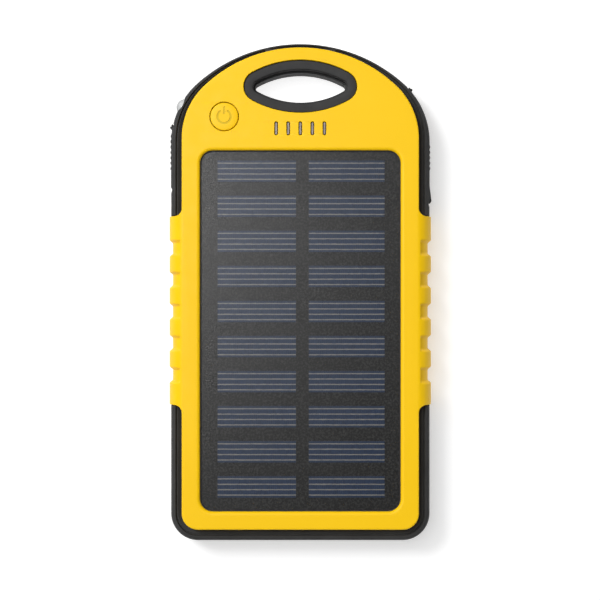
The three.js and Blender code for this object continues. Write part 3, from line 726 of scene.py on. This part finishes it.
# ---------------------------------------------------------------------------------------------------------
# Port covers
# ---------------------------------------------------------------------------------------------------------


def side_line(side, count, start, end):
    """Points, normals and distances along the bumper's side, from an angle on its shoulder to a height."""
    x, y = shoulder_centre(BUMPER)
    length = BUMPER["shoulder"] * start + (y - end)
    points, normals = [], []
    for s in np.linspace(0, length, count):
        left = BUMPER["shoulder"] * start - s
        angle = max(left, 0) / BUMPER["shoulder"]
        down = max(-left, 0)
        normal = np.array([math.cos(angle), math.sin(angle)])
        point = np.array([x, y - down]) + normal * BUMPER["shoulder"]
        points.append(point * (side, 1))
        normals.append(normal * (side, 1))
    return np.array(points), np.array(normals), np.linspace(0, length, count)


def cover_relief(cover, along, length, y, across):
    """How far a cover's outside stands out from the bumper. across runs from -1 to 1 over its width."""
    from_end = length - along
    edge = smoothstep(0, 0.6, from_end) * smoothstep(0, 0.4, along)
    rim = smoothstep(1.0, 0.88, abs(across))
    height = 0.05 - 0.3 * (1 - edge * rim)
    from_nub = (along - NUB["along"]) / NUB["reach"]
    nub = NUB["height"] * math.exp(-(from_nub**4)) * smoothstep(0.75, 0.6, abs(across))
    low, high = cover["ribs"]
    ribs = 0.0
    if low < y < high:
        wave = 0.5 - 0.5 * math.cos(2 * math.pi * (y - low) / (high - low) * cover["rib_count"])
        ribs = RIB_HEIGHT * smoothstep(0.2, 0.8, wave) * smoothstep(0.62, 0.52, abs(across))
    lift = 0.0
    if cover["tab"]:
        lift = cover["tab"] * np.clip((4.9 - from_end) / 4.6, 0, 1) * smoothstep(0.72, 0.64, abs(across))
    return height + ribs + nub + lift


def cover_plate(cover):
    """The rubber flap itself: a shell over the bead's surface, with soft edges, ribs and a nub."""
    side = cover["side"]
    start = hinge_angle(cover)
    count, wide = 260, 44
    points, normals, along = side_line(side, count, start, cover["free_end"])
    length = along[-1]
    shares, heights = np.array(bead(1.0, LEDGE, 60))[::-1].T
    half = (COVER_Z[1] - COVER_Z[0]) / 2
    across = np.sin(np.linspace(-math.pi / 2, math.pi / 2, wide))
    band = BUMPER["half_width"] - FACE["half_width"]
    shape = Shape()
    rows = []
    for point, normal, s in zip(points, normals, along):
        outer, inner = [], []
        for a in across:
            away = abs(a) * half
            sunk = (1 - np.interp(MID + away, heights, shares)) * band
            out = point + normal * (cover_relief(cover, s, length, point[1], a) - sunk)
            outer.append((*out, MID + a * half))
            inner.append((*(point - normal * (band * (1 - COVER_INNER))), MID + a * half))
        rows.append(shape.ring(outer + inner[::-1]))
    shape.sweep(rows)
    for row in (rows[0], rows[-1]):
        shape.bridge(row[:wide], row[wide:][::-1], closed=False)
    return shape.make(cover["name"] + "_body")


def port_cover(cover):
    """A flap with the lug that plugs into its ports, and the knuckle at its hinge."""
    plate = cover_plate(cover)
    (x0, x1), y, z = cover["lug"]
    side = cover["side"]
    lug = box(sorted((side * x0, side * x1)), y, z)
    join(plate, combine(lug, prism(shared(COVER_INNER + 0.1), *COVER_Z), "INTERSECT"))
    pivot = joint_pivot(cover["name"] + "_hinge")
    return join(plate, prism(circle(pivot.x, pivot.y, KNUCKLE["radius"], 32), *COVER_Z))


# ---------------------------------------------------------------------------------------------------------
# Small pieces
# ---------------------------------------------------------------------------------------------------------


def power_symbol(z0, z1):
    """Cutters for a plain power symbol: a broken ring and a bar."""
    radius, tip = 1.86, 0.3
    gap = math.radians(35)
    start, end = math.pi / 2 + gap, 2.5 * math.pi - gap
    outer = arc(0, 0, radius + tip, start, end, 60)
    inner = arc(0, 0, radius - tip, end, start, 60)
    at_end = (radius * math.cos(end), radius * math.sin(end))
    at_start = (radius * math.cos(start), radius * math.sin(start))
    far_cap = arc(*at_end, tip, end, end + math.pi, 8)[1:-1]
    near_cap = arc(*at_start, tip, start + math.pi, start + 2 * math.pi, 8)[1:-1]
    centre = (BUTTON["x"], BUTTON["y"])
    broken_ring = np.vstack([outer, far_cap, inner, near_cap]) + centre
    bar = rounded_rectangle(-tip, tip, 0.6, 2.8, tip - 0.01, 8) + centre
    return prism(broken_ring, z0, z1), prism(bar, z0, z1)


def power_button():
    """The button's cap, with its flange under the shell, its stem and its engraved symbol."""
    radius, flange, stem = BUTTON["radius"], 4.9, 1.3
    low, high = (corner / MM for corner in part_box("power_button"))
    top = high.z
    profile = [
        (0, low.z),
        (stem, low.z),
        (stem, 11.5),
        (flange, 11.5),
        (flange, 12.4),
        (radius, 12.4),
        (radius, top - 0.3),
        (radius - 0.04, top - 0.14),
        (radius - 0.12, top - 0.05),
        (radius - 0.28, top),
        (0, top),
    ]
    cap = lathe(profile, "power_button_cap", 96)
    move(cap, Matrix.Translation((BUTTON["x"] * MM, BUTTON["y"] * MM, 0)))
    return cut(cap, *power_symbol(top - 0.16, top + 1))


def light_guide():
    """A bar with five fingers that fill the slots."""
    low, high = (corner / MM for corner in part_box("light_guide"))
    top = high.z
    bar = box((low.x, high.x), (low.y + 0.35, high.y - 0.35), (11.2, 12.4), "light_guide_body")
    for x in slot_xs():
        thin, thinner = slot_outline(x, -0.22), slot_outline(x, -0.3)
        finger = stack([(thin, low.z), (thin, top - 0.12), (thinner, top)], "finger")
        join(bar, finger)
    return bar


def torch_dome():
    """The torch LED's clear body, with its flange inside the case."""
    radius, tip = TORCH["radius"], TORCH["tip"]
    turn = np.linspace(0, math.pi / 2, 24)
    dome = [(radius * math.cos(a), tip - radius + radius * math.sin(a)) for a in turn]
    rim = [(0, -5.2), (2.85, -5.2), (2.85, -4.2), (radius, -4.2)]
    return on_torch_axis(lathe([*rim, *dome[:-1], (0, tip)], "torch_dome"))


def window_gasket():
    """The black strip round the panel, under the window's lip, where it is the real gasket. Its inner edge
    reaches 0.3 mm out past the lip over the panel, a black strip that stands in for the shade along the
    window's edge.
    """
    z0, z1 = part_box("panel_gasket")[0].z / MM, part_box("panel_gasket")[1].z / MM
    shape = Shape()
    # The points at -0.2 and -0.3 carry the strip out past the lip: a black strip standing in for the shade at
    # the window's edge.
    section = [(0.8, z0), (0.8, z1), (0.05, z1), (-0.2, z1 - 0.03), (-0.3, z1 - 0.1), (-0.3, z0)]
    rings = [shape.flat_ring(window(grow), z) for grow, z in section]
    shape.sweep(rings)
    shape.bridge(rings[-1], rings[0])
    return shape.make("window_gasket")


def diamond(x, y, half_width, half_height):
    """A rhombus with clipped points."""
    clip = 0.12
    return np.array(
        [
            (x + half_width, y - clip),
            (x + half_width, y + clip),
            (x + clip, y + half_height),
            (x - clip, y + half_height),
            (x - half_width, y + clip),
            (x - half_width, y - clip),
            (x - clip, y - half_height),
            (x + clip, y - half_height),
        ]
    )


def back_grip():
    """The rubber grip panel in the back, with rows of raised diamonds inside a plain border."""
    low, high = (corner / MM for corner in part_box("rear_inlay"))
    half_width, half_height, gap = 1.75, 2.6, 0.5
    pitch_x, pitch_y = 2 * half_width + gap, 2 * half_height + gap
    border = 4.0
    shape = Shape()
    edge = window(-INLAY["gap"])
    rings = shape.sweep(
        [
            shape.flat_ring(edge, high.z),
            shape.flat_ring(edge, low.z + 0.15),
            shape.flat_ring(window(-INLAY["gap"] - 0.05), low.z + 0.04),
            shape.flat_ring(window(-INLAY["gap"] - 0.16), low.z),
        ]
    )
    loops = [rings[-1]]
    centre_y = (low.y + high.y) / 2
    rows = int((high.y - low.y - 2 * border) / pitch_y * 2) // 2
    columns = int((high.x - low.x - 2 * border) / pitch_x)
    for row in range(-rows, rows + 1):
        for column in range(-columns, columns + 1):
            if (row + column) % 2:
                continue
            x, y = column * pitch_x / 2, centre_y + row * pitch_y / 2
            past_side = abs(x) + half_width > high.x - border
            past_end = abs(y - centre_y) + half_height > (high.y - low.y) / 2 - border
            if past_side or past_end:
                continue
            base = shape.flat_ring(diamond(x, y, half_width, half_height), low.z)
            crest = shape.flat_ring(diamond(x, y, half_width - 0.14, half_height - 0.2), low.z - 0.11)
            flat = shape.flat_ring(diamond(x, y, half_width - 0.3, half_height - 0.42), low.z - 0.14)
            shape.sweep([base, crest, flat])
            shape.fill(flat)
            loops.append(base)
    shape.fill(*loops)
    shape.fill(rings[0])
    return shape.make("back_grip")


def screw(x, y, name):
    """A pan-head screw with a cross recess, head down."""
    low, high = (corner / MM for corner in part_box("case_screw_1"))
    head, shank = 1.75, 0.85
    profile = [
        (0, low.z),
        (0.9, low.z + 0.02),
        (1.35, low.z + 0.1),
        (1.62, low.z + 0.25),
        (head, low.z + 0.45),
        (head, low.z + 1.05),
        (shank, low.z + 1.05),
    ]
    z, pitch, crest = low.z + 1.6, 0.62, shank + 0.12
    while z < high.z - 1.0:
        profile += [(shank, z), (crest, z + 0.16), (crest, z + 0.24), (shank, z + 0.4)]
        z += pitch
    profile += [(shank, high.z - 0.8), (0.35, high.z), (0, high.z)]
    made = lathe(profile, name, 40)
    arm, blade = 1.02, 0.2
    for half_x, half_y in ((arm, blade), (blade, arm)):
        outer = [(-half_x, -half_y), (half_x, -half_y), (half_x, half_y), (-half_x, half_y)]
        inner = [(0.6 * px, 0.6 * py) for px, py in outer]
        cut(made, stack([(outer, low.z - 0.2), (outer, low.z + 0.1), (inner, low.z + 0.65)], "recess"))
    return move(made, Matrix.Translation((x * MM, y * MM, 0)))


# ---------------------------------------------------------------------------------------------------------
# Materials
# ---------------------------------------------------------------------------------------------------------


RANGE_SOCKETS = ("From Min", "From Max", "To Min", "To Max")


class Look:
    """A Principled material, with helpers that add procedural detail in millimetres."""

    def __init__(self, name, color, roughness, **sockets):
        self.material = bpy.data.materials.new(name)
        self.material.use_nodes = True
        self.tree = self.material.node_tree
        self.shader = self.tree.nodes["Principled BSDF"]
        self.shader.inputs["Base Color"].default_value = (*color, 1)
        self.shader.inputs["Roughness"].default_value = roughness
        for socket, value in sockets.items():
            self.shader.inputs[socket.replace("_", " ")].default_value = value
        self.coordinates = self.tree.nodes.new("ShaderNodeTexCoord").outputs["Object"]
        self.height = None

    def add(self, kind, **settings):
        node = self.tree.nodes.new(kind)
        for key, value in settings.items():
            setattr(node, key, value)
        return node

    def put(self, value, socket):
        if isinstance(value, bpy.types.NodeSocket):
            self.tree.links.new(value, socket)
        else:
            socket.default_value = value

    def place(self, scale=(1, 1, 1)):
        """Object coordinates in millimetres, stretched."""
        node = self.add("ShaderNodeMapping")
        node.inputs["Scale"].default_value = [s / MM for s in scale]
        self.put(self.coordinates, node.inputs["Vector"])
        return node.outputs["Vector"]

    def noise(self, size, detail=3.0, stretch=(1, 1, 1), rough=0.5):
        """Noise with features of a size in millimetres, from 0 to 1."""
        node = self.add("ShaderNodeTexNoise")
        node.inputs["Scale"].default_value = 1 / size
        node.inputs["Detail"].default_value = detail
        node.inputs["Roughness"].default_value = rough
        self.put(self.place(stretch), node.inputs["Vector"])
        return node.outputs["Fac"]

    def math(self, operation, a, b=0.0):
        node = self.add("ShaderNodeMath", operation=operation)
        for value, socket in zip((a, b), node.inputs):
            self.put(value, socket)
        return node.outputs[0]

    def ramp(self, value, low, high, out_low=0.0, out_high=1.0):
        """Maps low..high to out_low..out_high, clamped."""
        node = self.add("ShaderNodeMapRange")
        for name, number in zip(RANGE_SOCKETS, (low, high, out_low, out_high)):
            node.inputs[name].default_value = number
        self.put(value, node.inputs["Value"])
        return node.outputs[0]

    def mix(self, factor, a, b):
        """Mixes two colours, each a socket or three numbers."""
        node = self.add("ShaderNodeMix", data_type="RGBA")
        colours = [c if isinstance(c, bpy.types.NodeSocket) else (*c, 1) for c in (a, b)]
        for value, socket in zip((factor, *colours), (node.inputs[0], node.inputs[6], node.inputs[7])):
            self.put(value, socket)
        return node.outputs[2]

    def axis(self, index):
        """One object coordinate, in millimetres."""
        node = self.add("ShaderNodeSeparateXYZ")
        self.put(self.coordinates, node.inputs[0])
        return self.math("DIVIDE", node.outputs[index], MM)

    def color(self, socket):
        self.put(socket, self.shader.inputs["Base Color"])
        return self

    def roughness(self, socket):
        self.put(socket, self.shader.inputs["Roughness"])
        return self

    def bump(self, height, depth):
        """Bump from a height of 0 to 1, that is depth millimetres deep."""
        node = self.add("ShaderNodeBump")
        node.inputs["Distance"].default_value = depth * MM
        node.inputs["Strength"].default_value = 1.0
        self.put(height, node.inputs["Height"])
        if self.height:
            self.put(self.height, node.inputs["Normal"])
        self.height = node.outputs["Normal"]
        self.put(self.height, self.shader.inputs["Normal"])
        return self


def yellow_plastic(name="yellow_plastic", engraved=None):
    """Saturated yellow plastic. Below the height engraved, in millimetres, it has painted shade: a darker
    olive colour that stands in for the shade in a recess.
    """
    look = Look(name, (0.93, 0.585, 0.002), 0.45, Specular_IOR_Level=0.16)
    base = look.mix(look.ramp(look.noise(26, 2), 0.3, 0.7), (0.92, 0.56, 0.001), (0.95, 0.58, 0.003))
    if engraved:
        # Painted shade: below the given height the colour turns a darker olive, as shade in the engraved
        # recess.
        base = look.mix(look.ramp(look.axis(2), engraved - 0.02, engraved), (0.67, 0.46, 0.0), base)
    look.color(base)
    look.roughness(look.ramp(look.noise(3.5, 4), 0.3, 0.7, 0.4, 0.5))
    look.bump(look.noise(0.16, 2), 0.004)
    return look.material


def bumper_rubber():
    look = Look("bumper_rubber", (0.042, 0.042, 0.042), 0.6, Specular_IOR_Level=0.1)
    cloud = look.ramp(look.noise(9, 4), 0.3, 0.7)
    look.color(look.mix(cloud, (0.037, 0.037, 0.037), (0.047, 0.0465, 0.0465)))
    look.roughness(look.ramp(look.noise(1.4, 5), 0.3, 0.7, 0.54, 0.68))
    look.bump(look.noise(0.22, 3), 0.012)
    return look.material


def grip_rubber():
    look = Look("grip_rubber", (0.03, 0.03, 0.031), 0.6)
    look.color(look.mix(look.ramp(look.noise(6, 4), 0.3, 0.7), (0.024, 0.024, 0.025), (0.036, 0.035, 0.036)))
    look.roughness(look.ramp(look.noise(1.1, 4), 0.3, 0.7, 0.52, 0.7))
    look.bump(look.noise(0.18, 3), 0.015)
    return look.material


def gasket_rubber():
    look = Look("gasket_black", (0.012, 0.012, 0.012), 0.8)
    look.color(look.mix(look.noise(1.5, 3), (0.008, 0.008, 0.008), (0.016, 0.016, 0.016)))
    look.bump(look.noise(0.2, 2), 0.01)
    return look.material


def satin(look):
    """The fine grain of the panel's satin surface, which everything under the film shares."""
    look.bump(look.noise(0.44, 1, rough=0.4), 0.038)
    look.roughness(look.ramp(look.noise(0.7, 3), 0.3, 0.7, 0.31, 0.4))
    return look


def panel_sheet():
    """The dark speckled sheet that the cells lie on."""
    look = satin(Look("panel_sheet", (0.01, 0.01, 0.01), 0.3, Specular_IOR_Level=0.34))
    grain = look.ramp(look.noise(0.6, 2, rough=0.65), 0.46, 0.62)
    look.color(look.mix(grain, (0.0, 0.0, 0.0), (0.03, 0.0295, 0.0282)))
    return look.material


def panel_film():
    """A clear satin film."""
    look = satin(Look("satin_film", (0.03, 0.03, 0.03), 0.3, Alpha=0.15))
    speckle = look.ramp(look.noise(0.5, 3, rough=0.6), 0.3, 0.7)
    look.color(look.mix(speckle, (0.0, 0.0, 0.0), (0.04, 0.04, 0.039)))
    return look.material


def silicon(node):
    """Blue silicon with four printed silver lines and faint upright fingers, placed on its own CAD cell."""
    low, high = (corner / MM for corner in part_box(node))
    name = "silicon_" + node[len("solar_cell_") :]
    look = satin(Look(name, (0.01, 0.025, 0.06), 0.3, Specular_IOR_Level=0.34))
    first, pitch, half_width = 0.75, 1.53, 0.15
    down = look.math("SUBTRACT", high.y, look.axis(1))
    off_line = look.math("PINGPONG", look.math("SUBTRACT", down, first), pitch / 2)
    wobble = look.ramp(look.noise(1.2, 3, (1, 4, 1)), 0.3, 0.7, -0.04, 0.04)
    line = look.ramp(look.math("ADD", off_line, wobble), half_width - 0.04, half_width + 0.05, 1, 0)
    line = look.math("MULTIPLY", line, look.ramp(look.noise(0.9, 3), 0.25, 0.5, 0.55, 0.95))
    finger = look.math("PINGPONG", look.math("SUBTRACT", look.axis(0), low.x), 0.3)
    finger = look.ramp(finger, 0.03, 0.12, 0.3, 0)
    crystal = look.ramp(look.noise(0.8, 5, (1.6, 0.7, 1), 0.7), 0.34, 0.66)
    base = look.mix(crystal, (0.001, 0.016, 0.055), (0.012, 0.036, 0.1))
    base = look.mix(finger, base, (0.06, 0.08, 0.12))
    look.color(look.mix(line, base, (0.3, 0.29, 0.265)))
    return look.material


def simple(name, dark, light, size, roughness, depth=0.01, **sockets):
    """A plain material with mottled colour, mottled roughness and a fine surface."""
    look = Look(name, light, roughness, **sockets)
    look.color(look.mix(look.ramp(look.noise(size, 4), 0.3, 0.7), dark, light))
    look.roughness(look.ramp(look.noise(size / 3, 4), 0.3, 0.7, roughness - 0.06, roughness + 0.08))
    look.bump(look.noise(size / 10, 3), depth)
    return look.material


def lens():
    """A clear dome over a white emitter, with painted shade: darkest round its middle height, which is its
    edge as seen from above, and lighter on its top and underside.
    """
    look = Look("led_lens", (0.6, 0.61, 0.61), 0.08, Transmission_Weight=0.12, IOR=1.5)
    rise = look.math("ABSOLUTE", look.math("SUBTRACT", look.axis(2), MID))
    tone = look.mix(look.noise(1.5, 2), (0.66, 0.67, 0.67), (0.74, 0.75, 0.75))
    # Painted shade: the colour darkens towards the torch's mid-height, so the dome's sides look shaded and
    # its top lit.
    look.color(look.mix(look.ramp(rise, 0.6, 2.1), (0.2, 0.205, 0.205), tone))
    look.roughness(look.ramp(look.noise(0.8, 2), 0.3, 0.7, 0.06, 0.12))
    return look.material


# ---------------------------------------------------------------------------------------------------------
# Scene
# ---------------------------------------------------------------------------------------------------------


def paint(nodes, material):
    """Gives CAD nodes a material."""
    for node in nodes:
        mesh = frame["nodes"][node].data
        mesh.materials.clear()
        mesh.materials.append(material)


def build_case(yellow, rubber):
    dress(front_shell(), yellow, "case", "yellow_shell", "front_shell")
    dress(rear_shell(), yellow, "case", "yellow_shell", "rear_shell")
    dress(mid_frame(), rubber, "case", "bumper_rubber", "mid_frame")
    dress(port_cover(USB_COVER), rubber, "usb_cover", "bumper_rubber", "usb_cover")
    dress(port_cover(MICRO_COVER), rubber, "micro_usb_cover", "bumper_rubber", "micro_usb_cover")
    dress(back_grip(), grip_rubber(), "case", "grip_inlay", "rear_inlay")
    dress(window_gasket(), gasket_rubber(), "case", "gasket_rubber", "panel_gasket")


def build_controls():
    # The button's material has painted shade in its engraved symbol.
    engraved = yellow_plastic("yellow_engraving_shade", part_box("power_button")[1].z / MM - 0.1)
    dress(power_button(), engraved, "power_button", "yellow_shell", "power_button")
    smoke = simple("smoky_plastic", (0.19, 0.165, 0.158), (0.28, 0.245, 0.235), 1.5, 0.3)
    dress(light_guide(), smoke, "case", "smoke_plastic", "light_guide")
    dress(torch_dome(), lens(), "case", "clear_lens", "torch_led")


def build_screws(steel):
    for i, (x, y) in enumerate(SCREWS, 1):
        dress(screw(x, y, f"pan_head_screw_{i}"), steel, "case", "plated_steel", f"case_screw_{i}")


def paint_inside(steel):
    names = list(frame["nodes"])
    black = simple("moulded_black", (0.012, 0.012, 0.012), (0.022, 0.022, 0.022), 2, 0.45)
    red = simple("red_silicone", (0.4, 0.02, 0.014), (0.5, 0.03, 0.02), 2, 0.45)
    wire_black = simple("black_silicone", (0.01, 0.01, 0.01), (0.02, 0.02, 0.02), 2, 0.45)
    board = simple("solder_mask", (0.008, 0.07, 0.025), (0.012, 0.1, 0.04), 3, 0.35)
    foil = simple("pouch_foil", (0.5, 0.51, 0.53), (0.6, 0.61, 0.63), 6, 0.32, 0.05, Metallic=0.9)
    foam = simple("foam_grey", (0.02, 0.02, 0.022), (0.05, 0.05, 0.054), 1.2, 0.9, 0.15)
    ceramic = simple("led_ceramic", (0.7, 0.66, 0.55), (0.82, 0.79, 0.68), 0.6, 0.5)
    paint(["tact_switch_body", "tact_switch_plunger", "boost_inductor", "controller_chip"], black)
    paint([name for name in names if name.endswith("_tongue")], black)
    paint([name for name in names if name.startswith("usb_socket") and name.endswith("_shell")], steel)
    paint(["micro_usb_shell"], steel)
    paint(["torch_led_anode", "torch_led_cathode"], steel)
    paint([name for name in names if name.startswith("indicator_led")], ceramic)
    paint(["battery_lead_positive", "solar_lead_positive"], red)
    paint(["battery_lead_negative", "solar_lead_negative"], wire_black)
    paint(["main_board"], board)
    paint(["battery_cell"], foil)
    paint(["battery_foam_pad"], foam)


def paint_panel():
    paint(["solar_backsheet"], panel_sheet())
    paint(["solar_film"], panel_film())
    for name in frame["nodes"]:
        if name.startswith("solar_cell"):
            paint([name], silicon(name))


def add_floor():
    """A white floor that glows a little all over, with a painted pool of light: it glows more round the carry
    loop, so the floor seen through the loop's hole is white.
    """
    half = 1500
    shape = Shape()
    corners = [(-half, -half), (half, -half), (half, half), (-half, half)]
    shape.faces.append(tuple(shape.flat_ring(corners, -0.02)))
    floor = shape.make("floor")
    look = Look("white_floor", (0.62, 0.62, 0.62), 0.9, Specular_IOR_Level=0.0, Emission_Color=(1, 1, 1, 1))
    look.color(look.mix(look.noise(80, 3), (0.61, 0.61, 0.61), (0.63, 0.63, 0.63)))
    # Painted light: the glow is strongest within 13 mm of the carry loop and fades out by 32 mm, a pool of
    # light painted on the floor.
    away = look.math("POWER", look.math("SUBTRACT", look.axis(1), LOOP["y"]), 2)
    away = look.math("SQRT", look.math("ADD", away, look.math("POWER", look.axis(0), 2)))
    look.put(look.ramp(away, 13, 32, 0.84, 0.5), look.shader.inputs["Emission Strength"])
    floor.data.materials.append(look.material)


def add_camera():
    data = bpy.data.cameras.new("camera")
    camera = bpy.data.objects.new("camera", data)
    bpy.context.scene.collection.objects.link(camera)
    camera.location = (-0.1 * MM, -2.2 * MM, 457 * MM)
    data.sensor_width = 36
    data.lens = 93.9
    data.clip_start = 0.01
    bpy.context.scene.camera = camera


def add_light(name, place, size, power):
    """A round light, aimed at the middle of the back."""
    data = bpy.data.lights.new(name, "AREA")
    data.shape = "DISK"
    data.size = size
    data.energy = power
    light = bpy.data.objects.new(name, data)
    bpy.context.scene.collection.objects.link(light)
    light.location = place
    light.rotation_euler = (-Vector(place)).to_track_quat("-Z", "Y").to_euler()
    return light


def add_world():
    """A surround that is brightest at the horizon."""
    world = bpy.data.worlds.new("studio")
    world.use_nodes = True
    background = world.node_tree.nodes["Background"]
    background.inputs["Color"].default_value = (1, 1, 1, 1)
    nodes, links = world.node_tree.nodes, world.node_tree.links
    height = nodes.new("ShaderNodeSeparateXYZ")
    strength = nodes.new("ShaderNodeMapRange")
    for name, number in zip(RANGE_SOCKETS, (0.0, 1.0, 0.5, 0.1)):
        strength.inputs[name].default_value = number
    links.new(nodes.new("ShaderNodeTexCoord").outputs["Generated"], height.inputs[0])
    links.new(height.outputs["Z"], strength.inputs["Value"])
    links.new(strength.outputs[0], background.inputs["Strength"])
    bpy.context.scene.world = world


def add_lights():
    """A key light, a softer one for shade alone, and one that only shows as a sheen."""
    add_light("key", (-0.576, 0.48, 0.96), 0.38, 9.1)
    overhead = add_light("overhead", (-0.25, 0.21, 1.15), 0.6, 5.0)
    overhead.visible_glossy = False
    sheen = add_light("sheen", (-0.2, 0.1, 0.74), 0.3, 3.2)
    sheen.visible_diffuse = False


def main():
    yellow, rubber = yellow_plastic(), bumper_rubber()
    steel = simple("nickel_plate", (0.55, 0.55, 0.56), (0.68, 0.68, 0.69), 4, 0.28, 0.005, Metallic=1.0)
    add_camera()
    build_case(yellow, rubber)
    build_controls()
    build_screws(steel)
    paint_inside(steel)
    paint_panel()
    add_floor()
    add_world()
    add_lights()
    bpy.context.scene.view_settings.view_transform = "Standard"


main()
